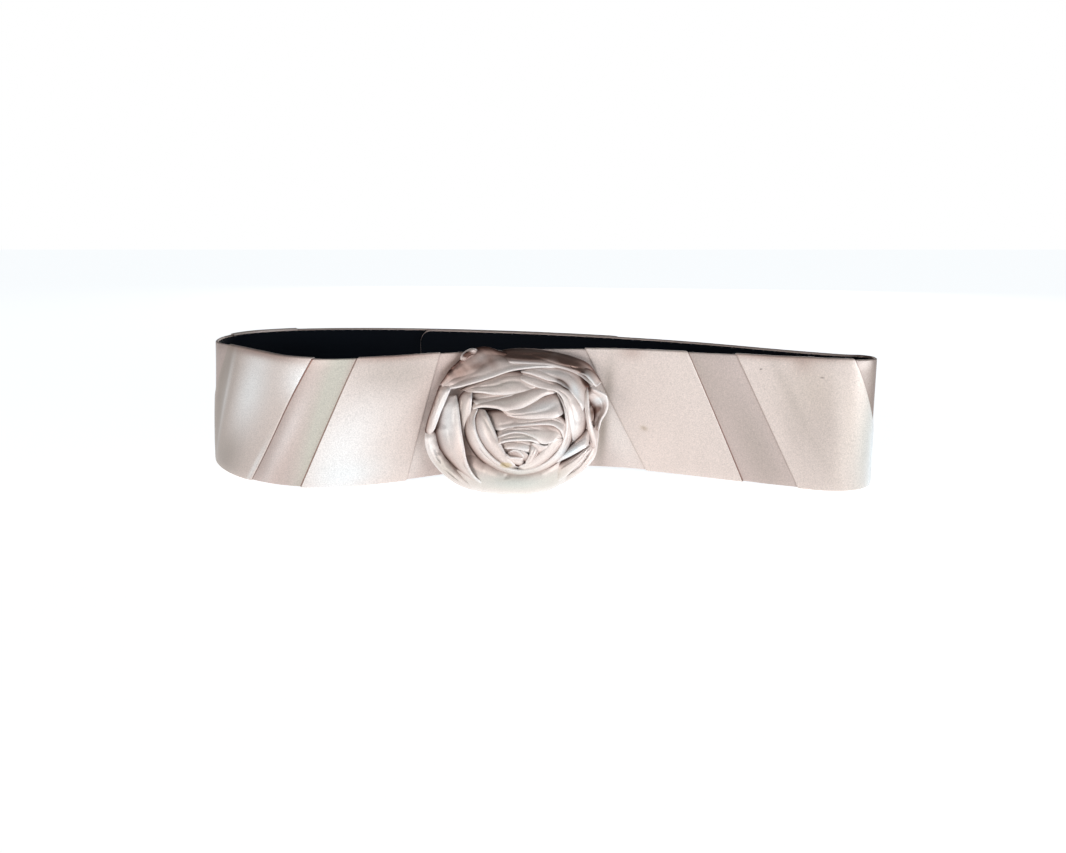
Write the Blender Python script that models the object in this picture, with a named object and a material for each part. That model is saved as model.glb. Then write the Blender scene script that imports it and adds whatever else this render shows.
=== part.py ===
"""A satin waist belt with a rolled rosette, closed in a loop and standing on its lower edge.

Metres, +Z up. +X runs to the right of somebody who faces the rosette, and -Y towards them.
The belt is one stiffened satin strip. It starts at its inner end behind the waist, runs along the
right side, across the front, round the left side and back over its own inner end.
"""

import math

import bmesh
import bpy
from mathutils import Vector

MM = 0.001

# Driving sizes of the cloth
BAND_HEIGHT = 63.5 * MM
BAND_WALL = 1.4 * MM
SEAM_GAP = 0.3 * MM
WRAP_WALL = 1.0 * MM
LINING_WALL = 1.0 * MM
EDGE_TURNING = 1.0 * MM
TURN_DEPTH = 0.7 * MM
OVERLAP = 128.0 * MM
OVERLAP_PITCH = 3.2 * MM
OVERLAP_RAMP = 50.0 * MM
END_CORNER = 8.0 * MM

BAND_BOTTOM = WRAP_WALL + SEAM_GAP
BAND_TOP = BAND_BOTTOM + BAND_HEIGHT
FULL_HEIGHT = BAND_TOP + SEAM_GAP + WRAP_WALL

# The middle of the belt's box, in the path's own measure, which becomes the origin
CENTRE_X = -5.13 * MM
CENTRE_Y = 50.11 * MM

# How finely the curved walls are divided
CHORD_ERROR = 0.05 * MM
TURN_PROBE = 1.5 * MM
SHORTEST_COLUMN = 2.2 * MM
LONGEST_COLUMN = 11.0 * MM
CORNER_STEPS = 4
BAND_ROWS = 5
WELD = 0.00002
SHARP_FROM = math.radians(40.0)

# The wraps, in millimetres along the path where each slanting end meets the upper and lower lip
WRAP_COLUMNS = ("name", "top_from", "top_to", "bottom_from", "bottom_to", "rows")
WRAP_ROWS = (
    ("wrap_front_left_outer", 546.5, 621.0, 589.5, 664.0, 7),
    ("wrap_front_left_inner", 490.0, 526.5, 507.5, 559.0, 5),
    ("wrap_front_right_inner", 363.0, 415.0, 332.0, 380.5, 5),
    ("wrap_front_right_outer", 287.0, 340.5, 250.0, 305.5, 10),
    ("wrap_back_left", 676.0, 716.0, 714.0, 752.0, 5),
)

# The flower's place and its rings, as drawn from the front in millimetres from its middle.
# near is how far a ring stands towards the eye, in millimetres, on each side.
FLOWER_RUN = 451.0 * MM
FLOWER_TILT = math.radians(14.9)
FLOWER_DROP = 5.0 * MM
EYE_DISTANCE = 363.0 * MM
FLOWER_SIDES = 48
FLOWER_SEAT = 0.45 * MM
FLOWER_CLEARANCE = 0.3 * MM
FLOWER_BACK_WIDE = 27.0 * MM
FLOWER_BACK_TALL = 24.0 * MM
FLOWER_BACK_SHARES = (0.5, 1.0)
FLOWER_WIDE = 44.0
FLOWER_TALL = 36.5
RING_STEPS = 3
PETAL_SPREAD = 0.016
PETAL_RISE = 1.3
OUTLINE_RADII = (
    42.0, 44.0, 44.5, 37.8, 35.5, 39.2, 40.3, 41.0, 44.0, 47.0, 45.0, 39.4, 37.5, 38.4, 39.7, 43.0,
)
RING_COLUMNS = (
    "left", "right", "top", "bottom",
    "near_left", "near_right", "near_top", "near_bottom", "outline", "petals", "turn",
)
RING_ROWS = (
    (-39.0, 37.0, 29.5, -29.0, 12.5, 1.0, 17.0, 7.0, 0.6, 3, 0.0),
    (-44.5, 42.5, 35.5, -36.0, 16.0, 8.0, 19.5, 15.5, 1.0, 3, 0.0),
    (-43.0, 41.0, 33.5, -35.5, 19.0, 12.0, 21.5, 19.5, 0.8, 3, 0.0),
    (-40.0, 38.0, 30.0, -33.0, 16.5, 9.0, 19.0, 18.0, 0.6, 3, 0.8),
    (-39.0, 36.5, 27.0, -31.5, 21.0, 16.0, 23.0, 22.0, 0.4, 4, 0.8),
    (-36.0, 34.5, 25.5, -30.5, 22.5, 18.0, 24.0, 23.0, 0.2, 4, 0.8),
    (-29.5, 32.0, 23.5, -28.5, 18.0, 13.5, 20.5, 19.0, 0.1, 3, 1.9),
    (-28.0, 30.5, 20.0, -28.0, 23.5, 20.0, 25.0, 24.5, 0.0, 3, 1.9),
    (-25.0, 28.0, 14.5, -27.0, 20.0, 16.5, 22.0, 21.5, 0.0, 3, 2.7),
    (-24.0, 27.0, 12.0, -26.5, 25.0, 23.0, 26.0, 26.5, 0.0, 3, 2.7),
    (-20.5, 25.5, 7.0, -25.8, 22.5, 21.0, 24.0, 24.0, 0.0, 3, 3.9),
    (-19.0, 24.5, 4.0, -25.0, 27.0, 26.0, 28.0, 28.5, 0.0, 3, 3.9),
    (-12.0, 23.0, -1.0, -24.0, 25.0, 23.5, 26.0, 26.0, 0.0, 3, 4.6),
    (-10.5, 22.0, -4.0, -23.5, 29.5, 28.5, 29.5, 29.5, 0.0, 3, 4.6),
    (-7.5, 14.0, -9.5, -23.0, 27.0, 26.5, 28.0, 27.5, 0.0, 2, 5.5),
    (-6.5, 12.0, -11.5, -22.0, 31.0, 31.0, 31.0, 30.5, 0.0, 2, 5.5),
    (-3.0, 5.0, -15.0, -19.5, 28.5, 28.5, 29.0, 28.5, 0.0, 2, 0.0),
)
BUD = (1.0, -17.5, 28.0)

# The belt's path along its lower edge, in millimetres, from the inner end round to where it overlaps:
# x, y, how far the upper edge stands over from the lower one in x and in y, and the lift off the floor.
PATH_ROWS = (
    (-69.0, 111.5, 0.0, 0.0, 0.0),
    (-32.0, 104.5, 0.0, 0.0, 0.0),
    (5.0, 94.5, 0.0, 0.0, 0.0),
    (42.0, 80.0, 0.0, 0.0, 0.0),
    (75.0, 64.0, -0.5, -0.9, 0.0),
    (105.0, 46.5, -1.5, -2.6, 0.0),
    (132.0, 30.5, -2.3, -5.5, 0.0),
    (153.0, 21.5, -3.2, -8.7, 0.0),
    (164.5, 18.0, -7.0, -6.9, 0.0),
    (168.5, 11.5, -7.2, -5.0, 0.0),
    (164.5, 4.0, -4.6, -3.6, 0.0),
    (154.0, -1.0, -1.2, -1.4, 0.0),
    (140.0, -0.8, -0.4, -0.4, 0.0),
    (120.0, 6.0, -0.6, -1.5, 0.0),
    (98.0, 13.0, -1.4, -4.8, 0.7),
    (73.0, 20.5, -2.5, -8.7, 1.4),
    (45.0, 28.0, -2.2, -12.8, 1.9),
    (14.0, 30.5, 0.4, -15.0, 2.1),
    (-18.0, 26.5, 3.0, -14.7, 2.1),
    (-45.0, 17.5, 3.9, -11.6, 1.7),
    (-69.0, 9.5, 2.7, -8.8, 0.8),
    (-93.0, 3.8, 0.7, -5.0, 0.1),
    (-116.0, 3.2, 0.2, 2.4, 0.0),
    (-138.0, 11.0, 3.6, 10.0, 0.0),
    (-156.0, 23.5, 6.6, 11.4, 0.0),
    (-169.5, 39.0, 7.8, 7.0, 0.0),
    (-178.0, 57.0, 5.6, 1.6, 0.0),
    (-177.0, 80.0, 1.2, -1.5, 0.0),
    (-166.0, 99.0, -2.4, -0.7, 0.0),
    (-145.0, 111.0, -0.8, 0.0, 0.0),
    (-112.0, 115.0, 0.0, 0.0, 0.0),
)


for leftover in list(bpy.data.objects):
    bpy.data.objects.remove(leftover)
COLLECTION = bpy.data.collections.new("satin_belt")
bpy.context.scene.collection.children.link(COLLECTION)


def smooth(t):
    """Eases 0 to 1 with flat ends."""
    t = min(max(t, 0.0), 1.0)
    return t * t * (3.0 - 2.0 * t)


def catmull(a, b, c, d, t):
    """A point of the smooth curve from b to c, at t from 0 to 1."""
    return 0.5 * (
        2 * b
        + (c - a) * t
        + (2 * a - 5 * b + 4 * c - d) * t * t
        + (3 * b - 3 * c + d - a) * t * t * t
    )


class BeltPath:
    """The closed loop that the strip follows, read by distance along its lower edge."""

    STEPS = 24

    def __init__(self):
        rows = [Vector(r) * MM for r in PATH_ROWS]
        count = len(rows)
        self.points = []
        for i in range(count):
            a, b, c, d = (rows[(i + k) % count] for k in (-1, 0, 1, 2))
            for k in range(self.STEPS):
                self.points.append(catmull(a, b, c, d, k / self.STEPS))
        self.points.append(self.points[0].copy())
        self.reach = [0.0]
        for p, q in zip(self.points, self.points[1:]):
            self.reach.append(self.reach[-1] + math.hypot(q[0] - p[0], q[1] - p[1]))
        self.length = self.reach[-1]

    def at(self, s):
        """x, y, the upper edge's lean in x and y, and the lift, at a distance along the loop."""
        s = s % self.length
        low, high = 0, len(self.reach) - 1
        while high - low > 1:
            mid = (low + high) // 2
            if self.reach[mid] <= s:
                low = mid
            else:
                high = mid
        share = (s - self.reach[low]) / (self.reach[high] - self.reach[low])
        return self.points[low].lerp(self.points[high], share)

    def outward(self, s, share):
        """The level direction out of the loop, at a share of the band's height."""
        along = self.at(s + TURN_PROBE) - self.at(s - TURN_PROBE)
        along = Vector((along[0] + along[2] * share, along[1] + along[3] * share))
        along.normalize()
        return Vector((-along[1], along[0]))


PATH = BeltPath()


def lap_offset(run):
    """How far a distance along the strip stands off the loop, so that its two ends pass each other."""
    inner = 1.0 - smooth((run - OVERLAP) / OVERLAP_RAMP)
    outer = smooth((run - PATH.length + OVERLAP_RAMP) / OVERLAP_RAMP)
    return 0.5 * OVERLAP_PITCH * (outer - inner)


def panel_point(run, out, height):
    """A point at a distance along the strip, out from its middle and up from the wraps' lower lip."""
    x, y, lean_x, lean_y, lift = PATH.at(run)
    share = height / FULL_HEIGHT
    away = PATH.outward(run, share) * (out + lap_offset(run))
    return Vector((
        x + lean_x * share + away.x - CENTRE_X,
        y + lean_y * share + away.y - CENTRE_Y,
        height + max(lift, 0.0),
    ))


def turn_rate(run, share):
    """How fast the wall turns at a distance along the strip and a share of its height."""
    a, b = PATH.outward(run, share), PATH.outward(run + TURN_PROBE, share)
    return abs(a.x * b.y - a.y * b.x) / TURN_PROBE


def columns(start, stop):
    """Distances from start to stop, closer together where the path turns more."""
    found = [start]
    while found[-1] < stop:
        here = found[-1]
        turning = max(turn_rate(here, share) for share in (0.0, 0.5, 1.0))
        step = math.sqrt(8.0 * CHORD_ERROR / max(turning, 1.0e-6))
        found.append(here + min(max(step, SHORTEST_COLUMN), LONGEST_COLUMN))
    found[-1] = stop
    if len(found) > 2 and stop - found[-2] < 0.5 * SHORTEST_COLUMN:
        found.pop(-2)
    return found


def corner_columns(start, stop, radius):
    """The columns of a strip with rounded ends, and how far each end corner cuts in at each."""
    turns = [math.radians(90.0 * k / CORNER_STEPS) for k in range(CORNER_STEPS)]
    lead = [start + radius * (1.0 - math.cos(t)) for t in turns]
    tail = [stop - radius * (1.0 - math.cos(t)) for t in reversed(turns)]
    middle = columns(start + radius, stop - radius)
    rows = []
    for run in lead + middle + tail:
        inset = radius - min(run - start, stop - run, radius)
        rows.append((run, radius - math.sqrt(max(radius * radius - inset * inset, 0.0))))
    return rows


def thick_sheet(name, outside, inside):
    """A closed body between two matching grids of points, outside and inside."""
    bm = bmesh.new()
    grids = []
    for grid in (outside, inside):
        grids.append([[bm.verts.new(p) for p in line] for line in grid])
    outer, inner = grids
    last_i, last_j = len(outer) - 1, len(outer[0]) - 1
    for i in range(last_i):
        for j in range(last_j):
            bm.faces.new((outer[i][j], outer[i + 1][j], outer[i + 1][j + 1], outer[i][j + 1]))
            bm.faces.new((inner[i][j], inner[i][j + 1], inner[i + 1][j + 1], inner[i + 1][j]))
    for i in range(last_i):
        for j in (0, last_j):
            bm.faces.new((outer[i][j], outer[i + 1][j], inner[i + 1][j], inner[i][j]))
    for j in range(last_j):
        for i in (0, last_i):
            bm.faces.new((outer[i][j], outer[i][j + 1], inner[i][j + 1], inner[i][j]))
    bmesh.ops.remove_doubles(bm, verts=bm.verts, dist=WELD)
    bmesh.ops.dissolve_degenerate(bm, edges=bm.edges, dist=WELD)
    bmesh.ops.recalc_face_normals(bm, faces=bm.faces)
    return finish_mesh(name, bm)


def finish_mesh(name, bm):
    """The body as an object in the belt's collection, shaded smooth with its folds sharp."""
    mesh = bpy.data.meshes.new(name)
    bm.to_mesh(mesh)
    bm.free()
    mesh.shade_smooth()
    mesh.set_sharp_from_angle(angle=SHARP_FROM)
    obj = bpy.data.objects.new(name, mesh)
    COLLECTION.objects.link(obj)
    return obj


def strip_between(name, out_face, in_face, inset, rows):
    """A flat strip with rounded ends between two faces, inset from the band's edges and ends."""
    outside, inside = [], []
    start, stop = inset, PATH.length + OVERLAP - inset
    for run, cut in corner_columns(start, stop, END_CORNER - inset):
        low, high = BAND_BOTTOM + inset + cut, BAND_TOP - inset - cut
        heights = [low + (high - low) * k / rows for k in range(rows + 1)]
        outside.append([panel_point(run, out_face, z) for z in heights])
        inside.append([panel_point(run, in_face, z) for z in heights])
    return thick_sheet(name, outside, inside)


def build_band():
    """The satin strip over its stiffening."""
    return strip_between("band_base", 0.5 * BAND_WALL, -0.5 * BAND_WALL, 0.0, BAND_ROWS)


def build_lining():
    """The dark backing on the strip's inner face."""
    face = -0.5 * BAND_WALL - SEAM_GAP
    return strip_between("band_lining", face, face - LINING_WALL, EDGE_TURNING, BAND_ROWS)


def wrap_section(rows):
    """A wrap's section, round the band from one inner turning to the other: pairs of out and height."""
    near = 0.5 * BAND_WALL + SEAM_GAP
    far = near + WRAP_WALL
    low, high = WRAP_WALL, FULL_HEIGHT - WRAP_WALL
    turned = BAND_BOTTOM + TURN_DEPTH
    pairs = [((-far, turned), (-near, turned)), ((-far, 0.0), (-near, low))]
    for k in range(rows + 1):
        share = k / rows
        pairs.append(((far, FULL_HEIGHT * share), (near, low + (high - low) * share)))
    pairs.append(((-far, FULL_HEIGHT), (-near, high)))
    pairs.append(((-far, FULL_HEIGHT - turned), (-near, FULL_HEIGHT - turned)))
    return pairs


def build_wrap(row):
    """One satin wrap folded over both edges of the band, with slanting ends."""
    wrap = dict(zip(WRAP_COLUMNS, row))
    first = min(wrap["top_from"], wrap["bottom_from"]) * MM
    last = max(wrap["top_to"], wrap["bottom_to"]) * MM
    section = wrap_section(wrap["rows"])
    outside, inside = [], []
    for run in columns(first, last):
        lines = ([], [])
        for pair in section:
            share = pair[0][1] / FULL_HEIGHT
            begin = (wrap["bottom_from"] + (wrap["top_from"] - wrap["bottom_from"]) * share) * MM
            end = (wrap["bottom_to"] + (wrap["top_to"] - wrap["bottom_to"]) * share) * MM
            held = min(max(run, begin), end)
            for line, (out, height) in zip(lines, pair):
                line.append(panel_point(held, out, height))
        outside.append(lines[0])
        inside.append(lines[1])
    return thick_sheet(wrap["name"], outside, inside)


def outline_share(angle):
    """The flower's uneven outline at an angle, as a share of its mean radius."""
    count = len(OUTLINE_RADII)
    place = (angle / math.tau * count) % count
    k = int(place)
    a, b, c, d = (OUTLINE_RADII[(k + m) % count] for m in (-1, 0, 1, 2))
    return catmull(a, b, c, d, place - k) / (sum(OUTLINE_RADII) / count)


def flower_point(right, up, near):
    """A point of the flower from its place as drawn from the front and how near the eye it stands."""
    shrink = 1.0 - near / EYE_DISTANCE
    seat = panel_point(FLOWER_RUN, 0.5 * BAND_WALL, 0.5 * FULL_HEIGHT)
    across = Vector((1.0, 0.0, 0.0))
    upward = Vector((0.0, math.sin(FLOWER_TILT), math.cos(FLOWER_TILT)))
    toward = Vector((0.0, -math.cos(FLOWER_TILT), math.sin(FLOWER_TILT)))
    level = up - FLOWER_DROP
    return seat + across * right * shrink + upward * level * shrink + toward * near


def ring_depth(ring, c, s):
    """How near the eye a ring stands in the direction whose cosine and sine are c and s."""
    sides = ring["near_left"] + ring["near_right"]
    ends = ring["near_top"] + ring["near_bottom"]
    tilt = 0.5 * (c * (ring["near_right"] - ring["near_left"]) + s * (ring["near_top"] - ring["near_bottom"]))
    return 0.25 * (sides + ends) + tilt + 0.25 * (c * c - s * s) * (sides - ends)


def flower_ring(row, angles):
    """One fold line of the flower, from its row of sizes."""
    ring = dict(zip(RING_COLUMNS, row))
    points = []
    for angle in angles:
        c, s = math.cos(angle), math.sin(angle)
        centre = (0.5 * (ring["right"] + ring["left"]), 0.5 * (ring["top"] + ring["bottom"]))
        half = (0.5 * (ring["right"] - ring["left"]), 0.5 * (ring["top"] - ring["bottom"]))
        uneven = 1.0 + ring["outline"] * (outline_share(angle) / ellipse_share(angle) - 1.0)
        wave = (1.0 - ring["outline"]) * math.cos(ring["petals"] * angle + ring["turn"])
        uneven *= 1.0 + PETAL_SPREAD * wave
        near = ring_depth(ring, c, s) + PETAL_RISE * wave
        right = (centre[0] + half[0] * c * uneven) * MM
        up = (centre[1] + half[1] * s * uneven) * MM
        points.append(flower_point(right, up, near * MM))
    return points


def ellipse_share(angle):
    """The widest ring's plain ellipse at an angle, as a share of its mean radius."""
    area = FLOWER_WIDE * FLOWER_TALL
    radius = area / math.hypot(FLOWER_TALL * math.cos(angle), FLOWER_WIDE * math.sin(angle))
    return radius / math.sqrt(area)


def rounded_rings(rings):
    """The fold lines with smooth rolled cloth between them, from the widest one in to the bud."""
    rounded = [rings[0]]
    last = len(rings) - 1
    for i in range(1, last):
        near = [rings[min(max(i + k, 1), last)] for k in (-1, 0, 1, 2)]
        for step in range(RING_STEPS):
            rounded.append([catmull(*places, step / RING_STEPS) for places in zip(*near)])
    rounded.append(rings[last])
    for ring in rounded:
        for point in ring:
            point.z = max(point.z, FLOWER_CLEARANCE)
    return rounded


def build_rosette():
    """The rolled flower: fold lines from its flat back out to its edge and in to its bud."""
    angles = [math.tau * k / FLOWER_SIDES for k in range(FLOWER_SIDES)]
    back_out = 0.5 * BAND_WALL + FLOWER_SEAT
    middle = 0.5 * FULL_HEIGHT
    bm = bmesh.new()
    rings = []
    for share in FLOWER_BACK_SHARES:
        ring = []
        for angle in angles:
            run = FLOWER_RUN - share * FLOWER_BACK_WIDE * math.cos(angle)
            ring.append(panel_point(run, back_out, middle + share * FLOWER_BACK_TALL * math.sin(angle)))
        rings.append(ring)
    rings.extend(rounded_rings([flower_ring(row, angles) for row in RING_ROWS]))
    verts = [[bm.verts.new(p) for p in ring] for ring in rings]
    for a, b in zip(verts, verts[1:]):
        for i in range(FLOWER_SIDES):
            j = (i + 1) % FLOWER_SIDES
            bm.faces.new((a[i], a[j], b[j], b[i]))
    poles = (
        (verts[0], panel_point(FLOWER_RUN, back_out, middle)),
        (verts[-1], flower_point(*(v * MM for v in BUD))),
    )
    for ring, place in poles:
        pole = bm.verts.new(place)
        for i in range(FLOWER_SIDES):
            bm.faces.new((ring[i], ring[(i + 1) % FLOWER_SIDES], pole))
    bmesh.ops.recalc_face_normals(bm, faces=bm.faces)
    return finish_mesh("rosette", bm)


def make_finish(name, colour, roughness, sheen):
    """A cloth finish."""
    material = bpy.data.materials.new(name)
    material.use_nodes = True
    shader = material.node_tree.nodes["Principled BSDF"]
    shader.inputs["Base Color"].default_value = (*colour, 1.0)
    shader.inputs["Roughness"].default_value = roughness
    shader.inputs["Metallic"].default_value = 0.0
    shader.inputs["Sheen Weight"].default_value = sheen
    material.diffuse_color = (*colour, 1.0)
    return material


def main():
    """Builds each piece with its own finish."""
    band = build_band()
    band.data.materials.append(make_finish("band_satin", (0.60, 0.49, 0.44), 0.38, 0.2))
    lining = build_lining()
    lining.data.materials.append(make_finish("lining_cloth", (0.006, 0.008, 0.014), 0.75, 0.1))
    for row in WRAP_ROWS:
        wrap = build_wrap(row)
        wrap.data.materials.append(make_finish(wrap.name + "_satin", (0.68, 0.57, 0.51), 0.35, 0.2))
    rosette = build_rosette()
    rosette.data.materials.append(make_finish("rosette_satin", (0.70, 0.58, 0.53), 0.40, 0.2))


main()
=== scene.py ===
"""Dresses the satin belt: its stiffened band, slanting wraps, dark lining and rolled satin flower.

Metres, +Z up, +X to the right of somebody who faces the flower, -Y towards them.
"""

from __future__ import annotations

import logging
import math
from bisect import bisect_right
from dataclasses import dataclass, field
from enum import Enum
from typing import Sequence

import bmesh
import bpy
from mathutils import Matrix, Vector, noise


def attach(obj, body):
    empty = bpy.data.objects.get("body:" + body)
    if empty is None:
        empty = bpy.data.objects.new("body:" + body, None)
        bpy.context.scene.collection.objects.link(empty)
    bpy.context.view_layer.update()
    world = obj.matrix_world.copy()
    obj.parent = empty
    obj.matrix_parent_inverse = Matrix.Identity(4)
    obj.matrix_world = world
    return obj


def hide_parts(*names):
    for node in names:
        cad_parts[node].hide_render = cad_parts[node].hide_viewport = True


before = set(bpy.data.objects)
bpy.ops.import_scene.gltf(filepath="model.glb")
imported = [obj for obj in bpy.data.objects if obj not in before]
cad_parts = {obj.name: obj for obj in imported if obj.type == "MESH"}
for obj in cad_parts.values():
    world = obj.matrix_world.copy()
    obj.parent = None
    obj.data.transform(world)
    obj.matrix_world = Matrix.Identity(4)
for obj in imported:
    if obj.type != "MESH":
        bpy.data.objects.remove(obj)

LOG = logging.getLogger("satin_belt")
MM = 0.001
ROOT = "root"
CLOTH_UV = "cloth"
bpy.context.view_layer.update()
Colour = tuple[float, float, float]

# Sizes of the cloth: thin layers that lie close on the solids' form
BAND_HEIGHT = 64.3 * MM
BAND_WALL = 1.4 * MM
LAY = 0.10 * MM
WRAP_CLOTH = 0.42 * MM
LINING_CLOTH = 0.6 * MM
EDGE_TURNING = 1.0 * MM
END_TURNING = 0.3 * MM
TURN_DEPTH = 0.7 * MM
OVERLAP = 128.0 * MM
OVERLAP_PITCH = 3.2 * MM
OVERLAP_RAMP = 50.0 * MM
END_CORNER = 8.0 * MM
BAND_BOTTOM = WRAP_CLOTH + LAY
BAND_TOP = BAND_BOTTOM + BAND_HEIGHT
WRAP_TOP = BAND_TOP + LAY + WRAP_CLOTH

# The height over which the path's rows lean, which is the solids' own, and the place of the belt's
# origin in the path's rows
LEAN_HEIGHT = 66.1 * MM
CENTRE_X = -5.13 * MM
CENTRE_Y = 50.11 * MM

# The belt's path along its lower edge, in millimetres, from the inner end round to where it overlaps:
# x, y, how far the upper edge stands over from the lower one in x and in y, and the lift off the floor.
PATH_ROWS = (
    (-69.0, 111.5, 0.0, 0.0, 0.0),
    (-32.0, 104.5, 0.0, 0.0, 0.0),
    (5.0, 94.5, 0.0, 0.0, 0.0),
    (42.0, 80.0, 0.0, 0.0, 0.0),
    (75.0, 64.0, -0.5, -0.9, 0.0),
    (105.0, 46.5, -1.5, -2.6, 0.0),
    (132.0, 30.5, -2.3, -5.5, 0.0),
    (153.0, 21.5, -3.2, -8.7, 0.0),
    (164.5, 18.0, -7.0, -6.9, 0.0),
    (168.5, 11.5, -7.2, -5.0, 0.0),
    (164.5, 4.0, -4.6, -3.6, 0.0),
    (154.0, -1.0, -1.2, -1.4, 0.0),
    (140.0, -0.8, -0.4, -0.4, 0.0),
    (120.0, 6.0, -0.6, -1.5, 0.0),
    (98.0, 13.0, -1.4, -4.8, 0.7),
    (73.0, 20.5, -2.5, -8.7, 1.4),
    (45.0, 28.0, -2.2, -12.8, 1.9),
    (14.0, 30.5, 0.4, -15.0, 2.1),
    (-18.0, 26.5, 3.0, -14.7, 2.1),
    (-45.0, 17.5, 3.9, -11.6, 1.7),
    (-69.0, 9.5, 2.7, -8.8, 0.8),
    (-93.0, 3.8, 0.7, -5.0, 0.1),
    (-116.0, 3.2, 0.2, 2.4, 0.0),
    (-138.0, 11.0, 3.6, 10.0, 0.0),
    (-156.0, 23.5, 6.6, 11.4, 0.0),
    (-169.5, 39.0, 7.8, 7.0, 0.0),
    (-178.0, 57.0, 5.6, 1.6, 0.0),
    (-177.0, 80.0, 1.2, -1.5, 0.0),
    (-166.0, 99.0, -2.4, -0.7, 0.0),
    (-145.0, 111.0, -0.8, 0.0, 0.0),
    (-112.0, 115.0, 0.0, 0.0, 0.0),
)

# Soft troughs and ridges of the cloth, in millimetres: where each crosses the middle
# of the band's height, how far it slants over that height, its half width, and its depth outwards.
CREASE_ROWS = (
    (640.0, 12.0, 4.5, 0.45),
    (629.0, 16.0, 4.2, -0.40),
    (619.0, 22.0, 4.0, 0.40),
    (598.0, 36.0, 12.0, -0.35),
    (560.0, 36.0, 8.0, 0.50),
    (546.0, 36.0, 7.0, -0.40),
    (528.0, 30.0, 9.0, 0.45),
    (509.0, 16.0, 6.0, -0.35),
    (390.0, -30.0, 12.0, -0.40),
    (361.0, -30.0, 8.0, 0.30),
    (338.0, -34.0, 7.0, 0.45),
    (322.0, -34.0, 5.0, -0.40),
    (303.0, -12.0, 6.0, -0.35),
    (292.0, -12.0, 4.0, 0.30),
    (282.0, -8.0, 4.0, 0.30),
    (232.0, -24.0, 5.0, 0.40),
    (188.0, -30.0, 8.0, -0.45),
    (140.0, -12.0, 9.0, 0.35),
    (88.0, 10.0, 10.0, -0.40),
    (36.0, 14.0, 9.0, 0.30),
    (696.0, 30.0, 6.0, 0.50),
    (722.0, 34.0, 7.0, -0.45),
    (770.0, 18.0, 9.0, 0.35),
)
# A crease is nothing beyond so many half widths, and all fade towards the band's edges
CREASE_REACH = 3.5
CREASE_EDGE_RATE = 4.0
CREASE_EDGE_SHARE = 0.35

# The wraps, in millimetres along the path where each slanting end meets the upper and lower lip,
# and how dark the painted shadow line is where each end lies on the band
WRAP_COLUMNS = ("name", "top_from", "top_to", "bottom_from", "bottom_to", "from_line", "to_line")
WRAP_ROWS = (
    ("wrap_front_left_outer", 546.5, 621.0, 589.5, 664.0, 0.85, 0.5),
    ("wrap_front_left_inner", 490.0, 526.5, 507.5, 559.0, 0.15, 0.85),
    ("wrap_front_right_inner", 363.0, 415.0, 332.0, 380.5, 0.75, 0.08),
    ("wrap_front_right_outer", 287.0, 340.5, 250.0, 305.5, 0.3, 0.14),
    ("wrap_back_left", 676.0, 716.0, 714.0, 752.0, 0.5, 0.5),
)

# The flower's place, in the frame in which its folds are drawn
FLOWER_RUN = 450.2 * MM
FLOWER_TILT = math.radians(14.9)
FLOWER_DROP = 5.0 * MM
EYE_DISTANCE = 363.0 * MM
FLOWER_CLEARANCE = 0.3 * MM


class Slot(Enum):
    """Names of material slots; the strips hold one each, but no piece is given a slot from them."""

    BAND = "band_satin"
    LINING = "lining_cloth"
    WRAP = "wrap_satin"
    ROSETTE = "rosette_satin"


class Tone(Enum):
    """The satin's colours, and those of its painted highlights and painted shade, in linear light."""

    BLUSH = (0.575, 0.472, 0.436)
    CHAMPAGNE = (0.725, 0.620, 0.570)
    PETAL = (0.850, 0.735, 0.685)
    PEARL = (0.900, 0.895, 0.890)
    ICE = (0.800, 0.860, 0.880)
    MINT = (0.530, 0.545, 0.500)
    CREAM = (0.790, 0.710, 0.665)
    SAND = (0.690, 0.590, 0.490)
    SAGE = (0.530, 0.505, 0.440)
    ROSE = (0.660, 0.500, 0.445)
    SHADE = (0.345, 0.205, 0.165)
    TAUPE = (0.370, 0.312, 0.272)
    BROWN = (0.190, 0.118, 0.096)
    # The darkest tone: painted shade in the deepest folds and gaps of the flower, and a few tiny dark dots
    # on the wraps
    DEEP_SHADE = (0.075, 0.028, 0.020)
    # A painted shadow line on the band where each wrap's end stands off it
    LINE_SHADOW = (0.190, 0.080, 0.056)
    NAVY = (0.0015, 0.0030, 0.0060)
    STAIN = (0.560, 0.430, 0.190)
    SPOT = (0.330, 0.230, 0.130)
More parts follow.
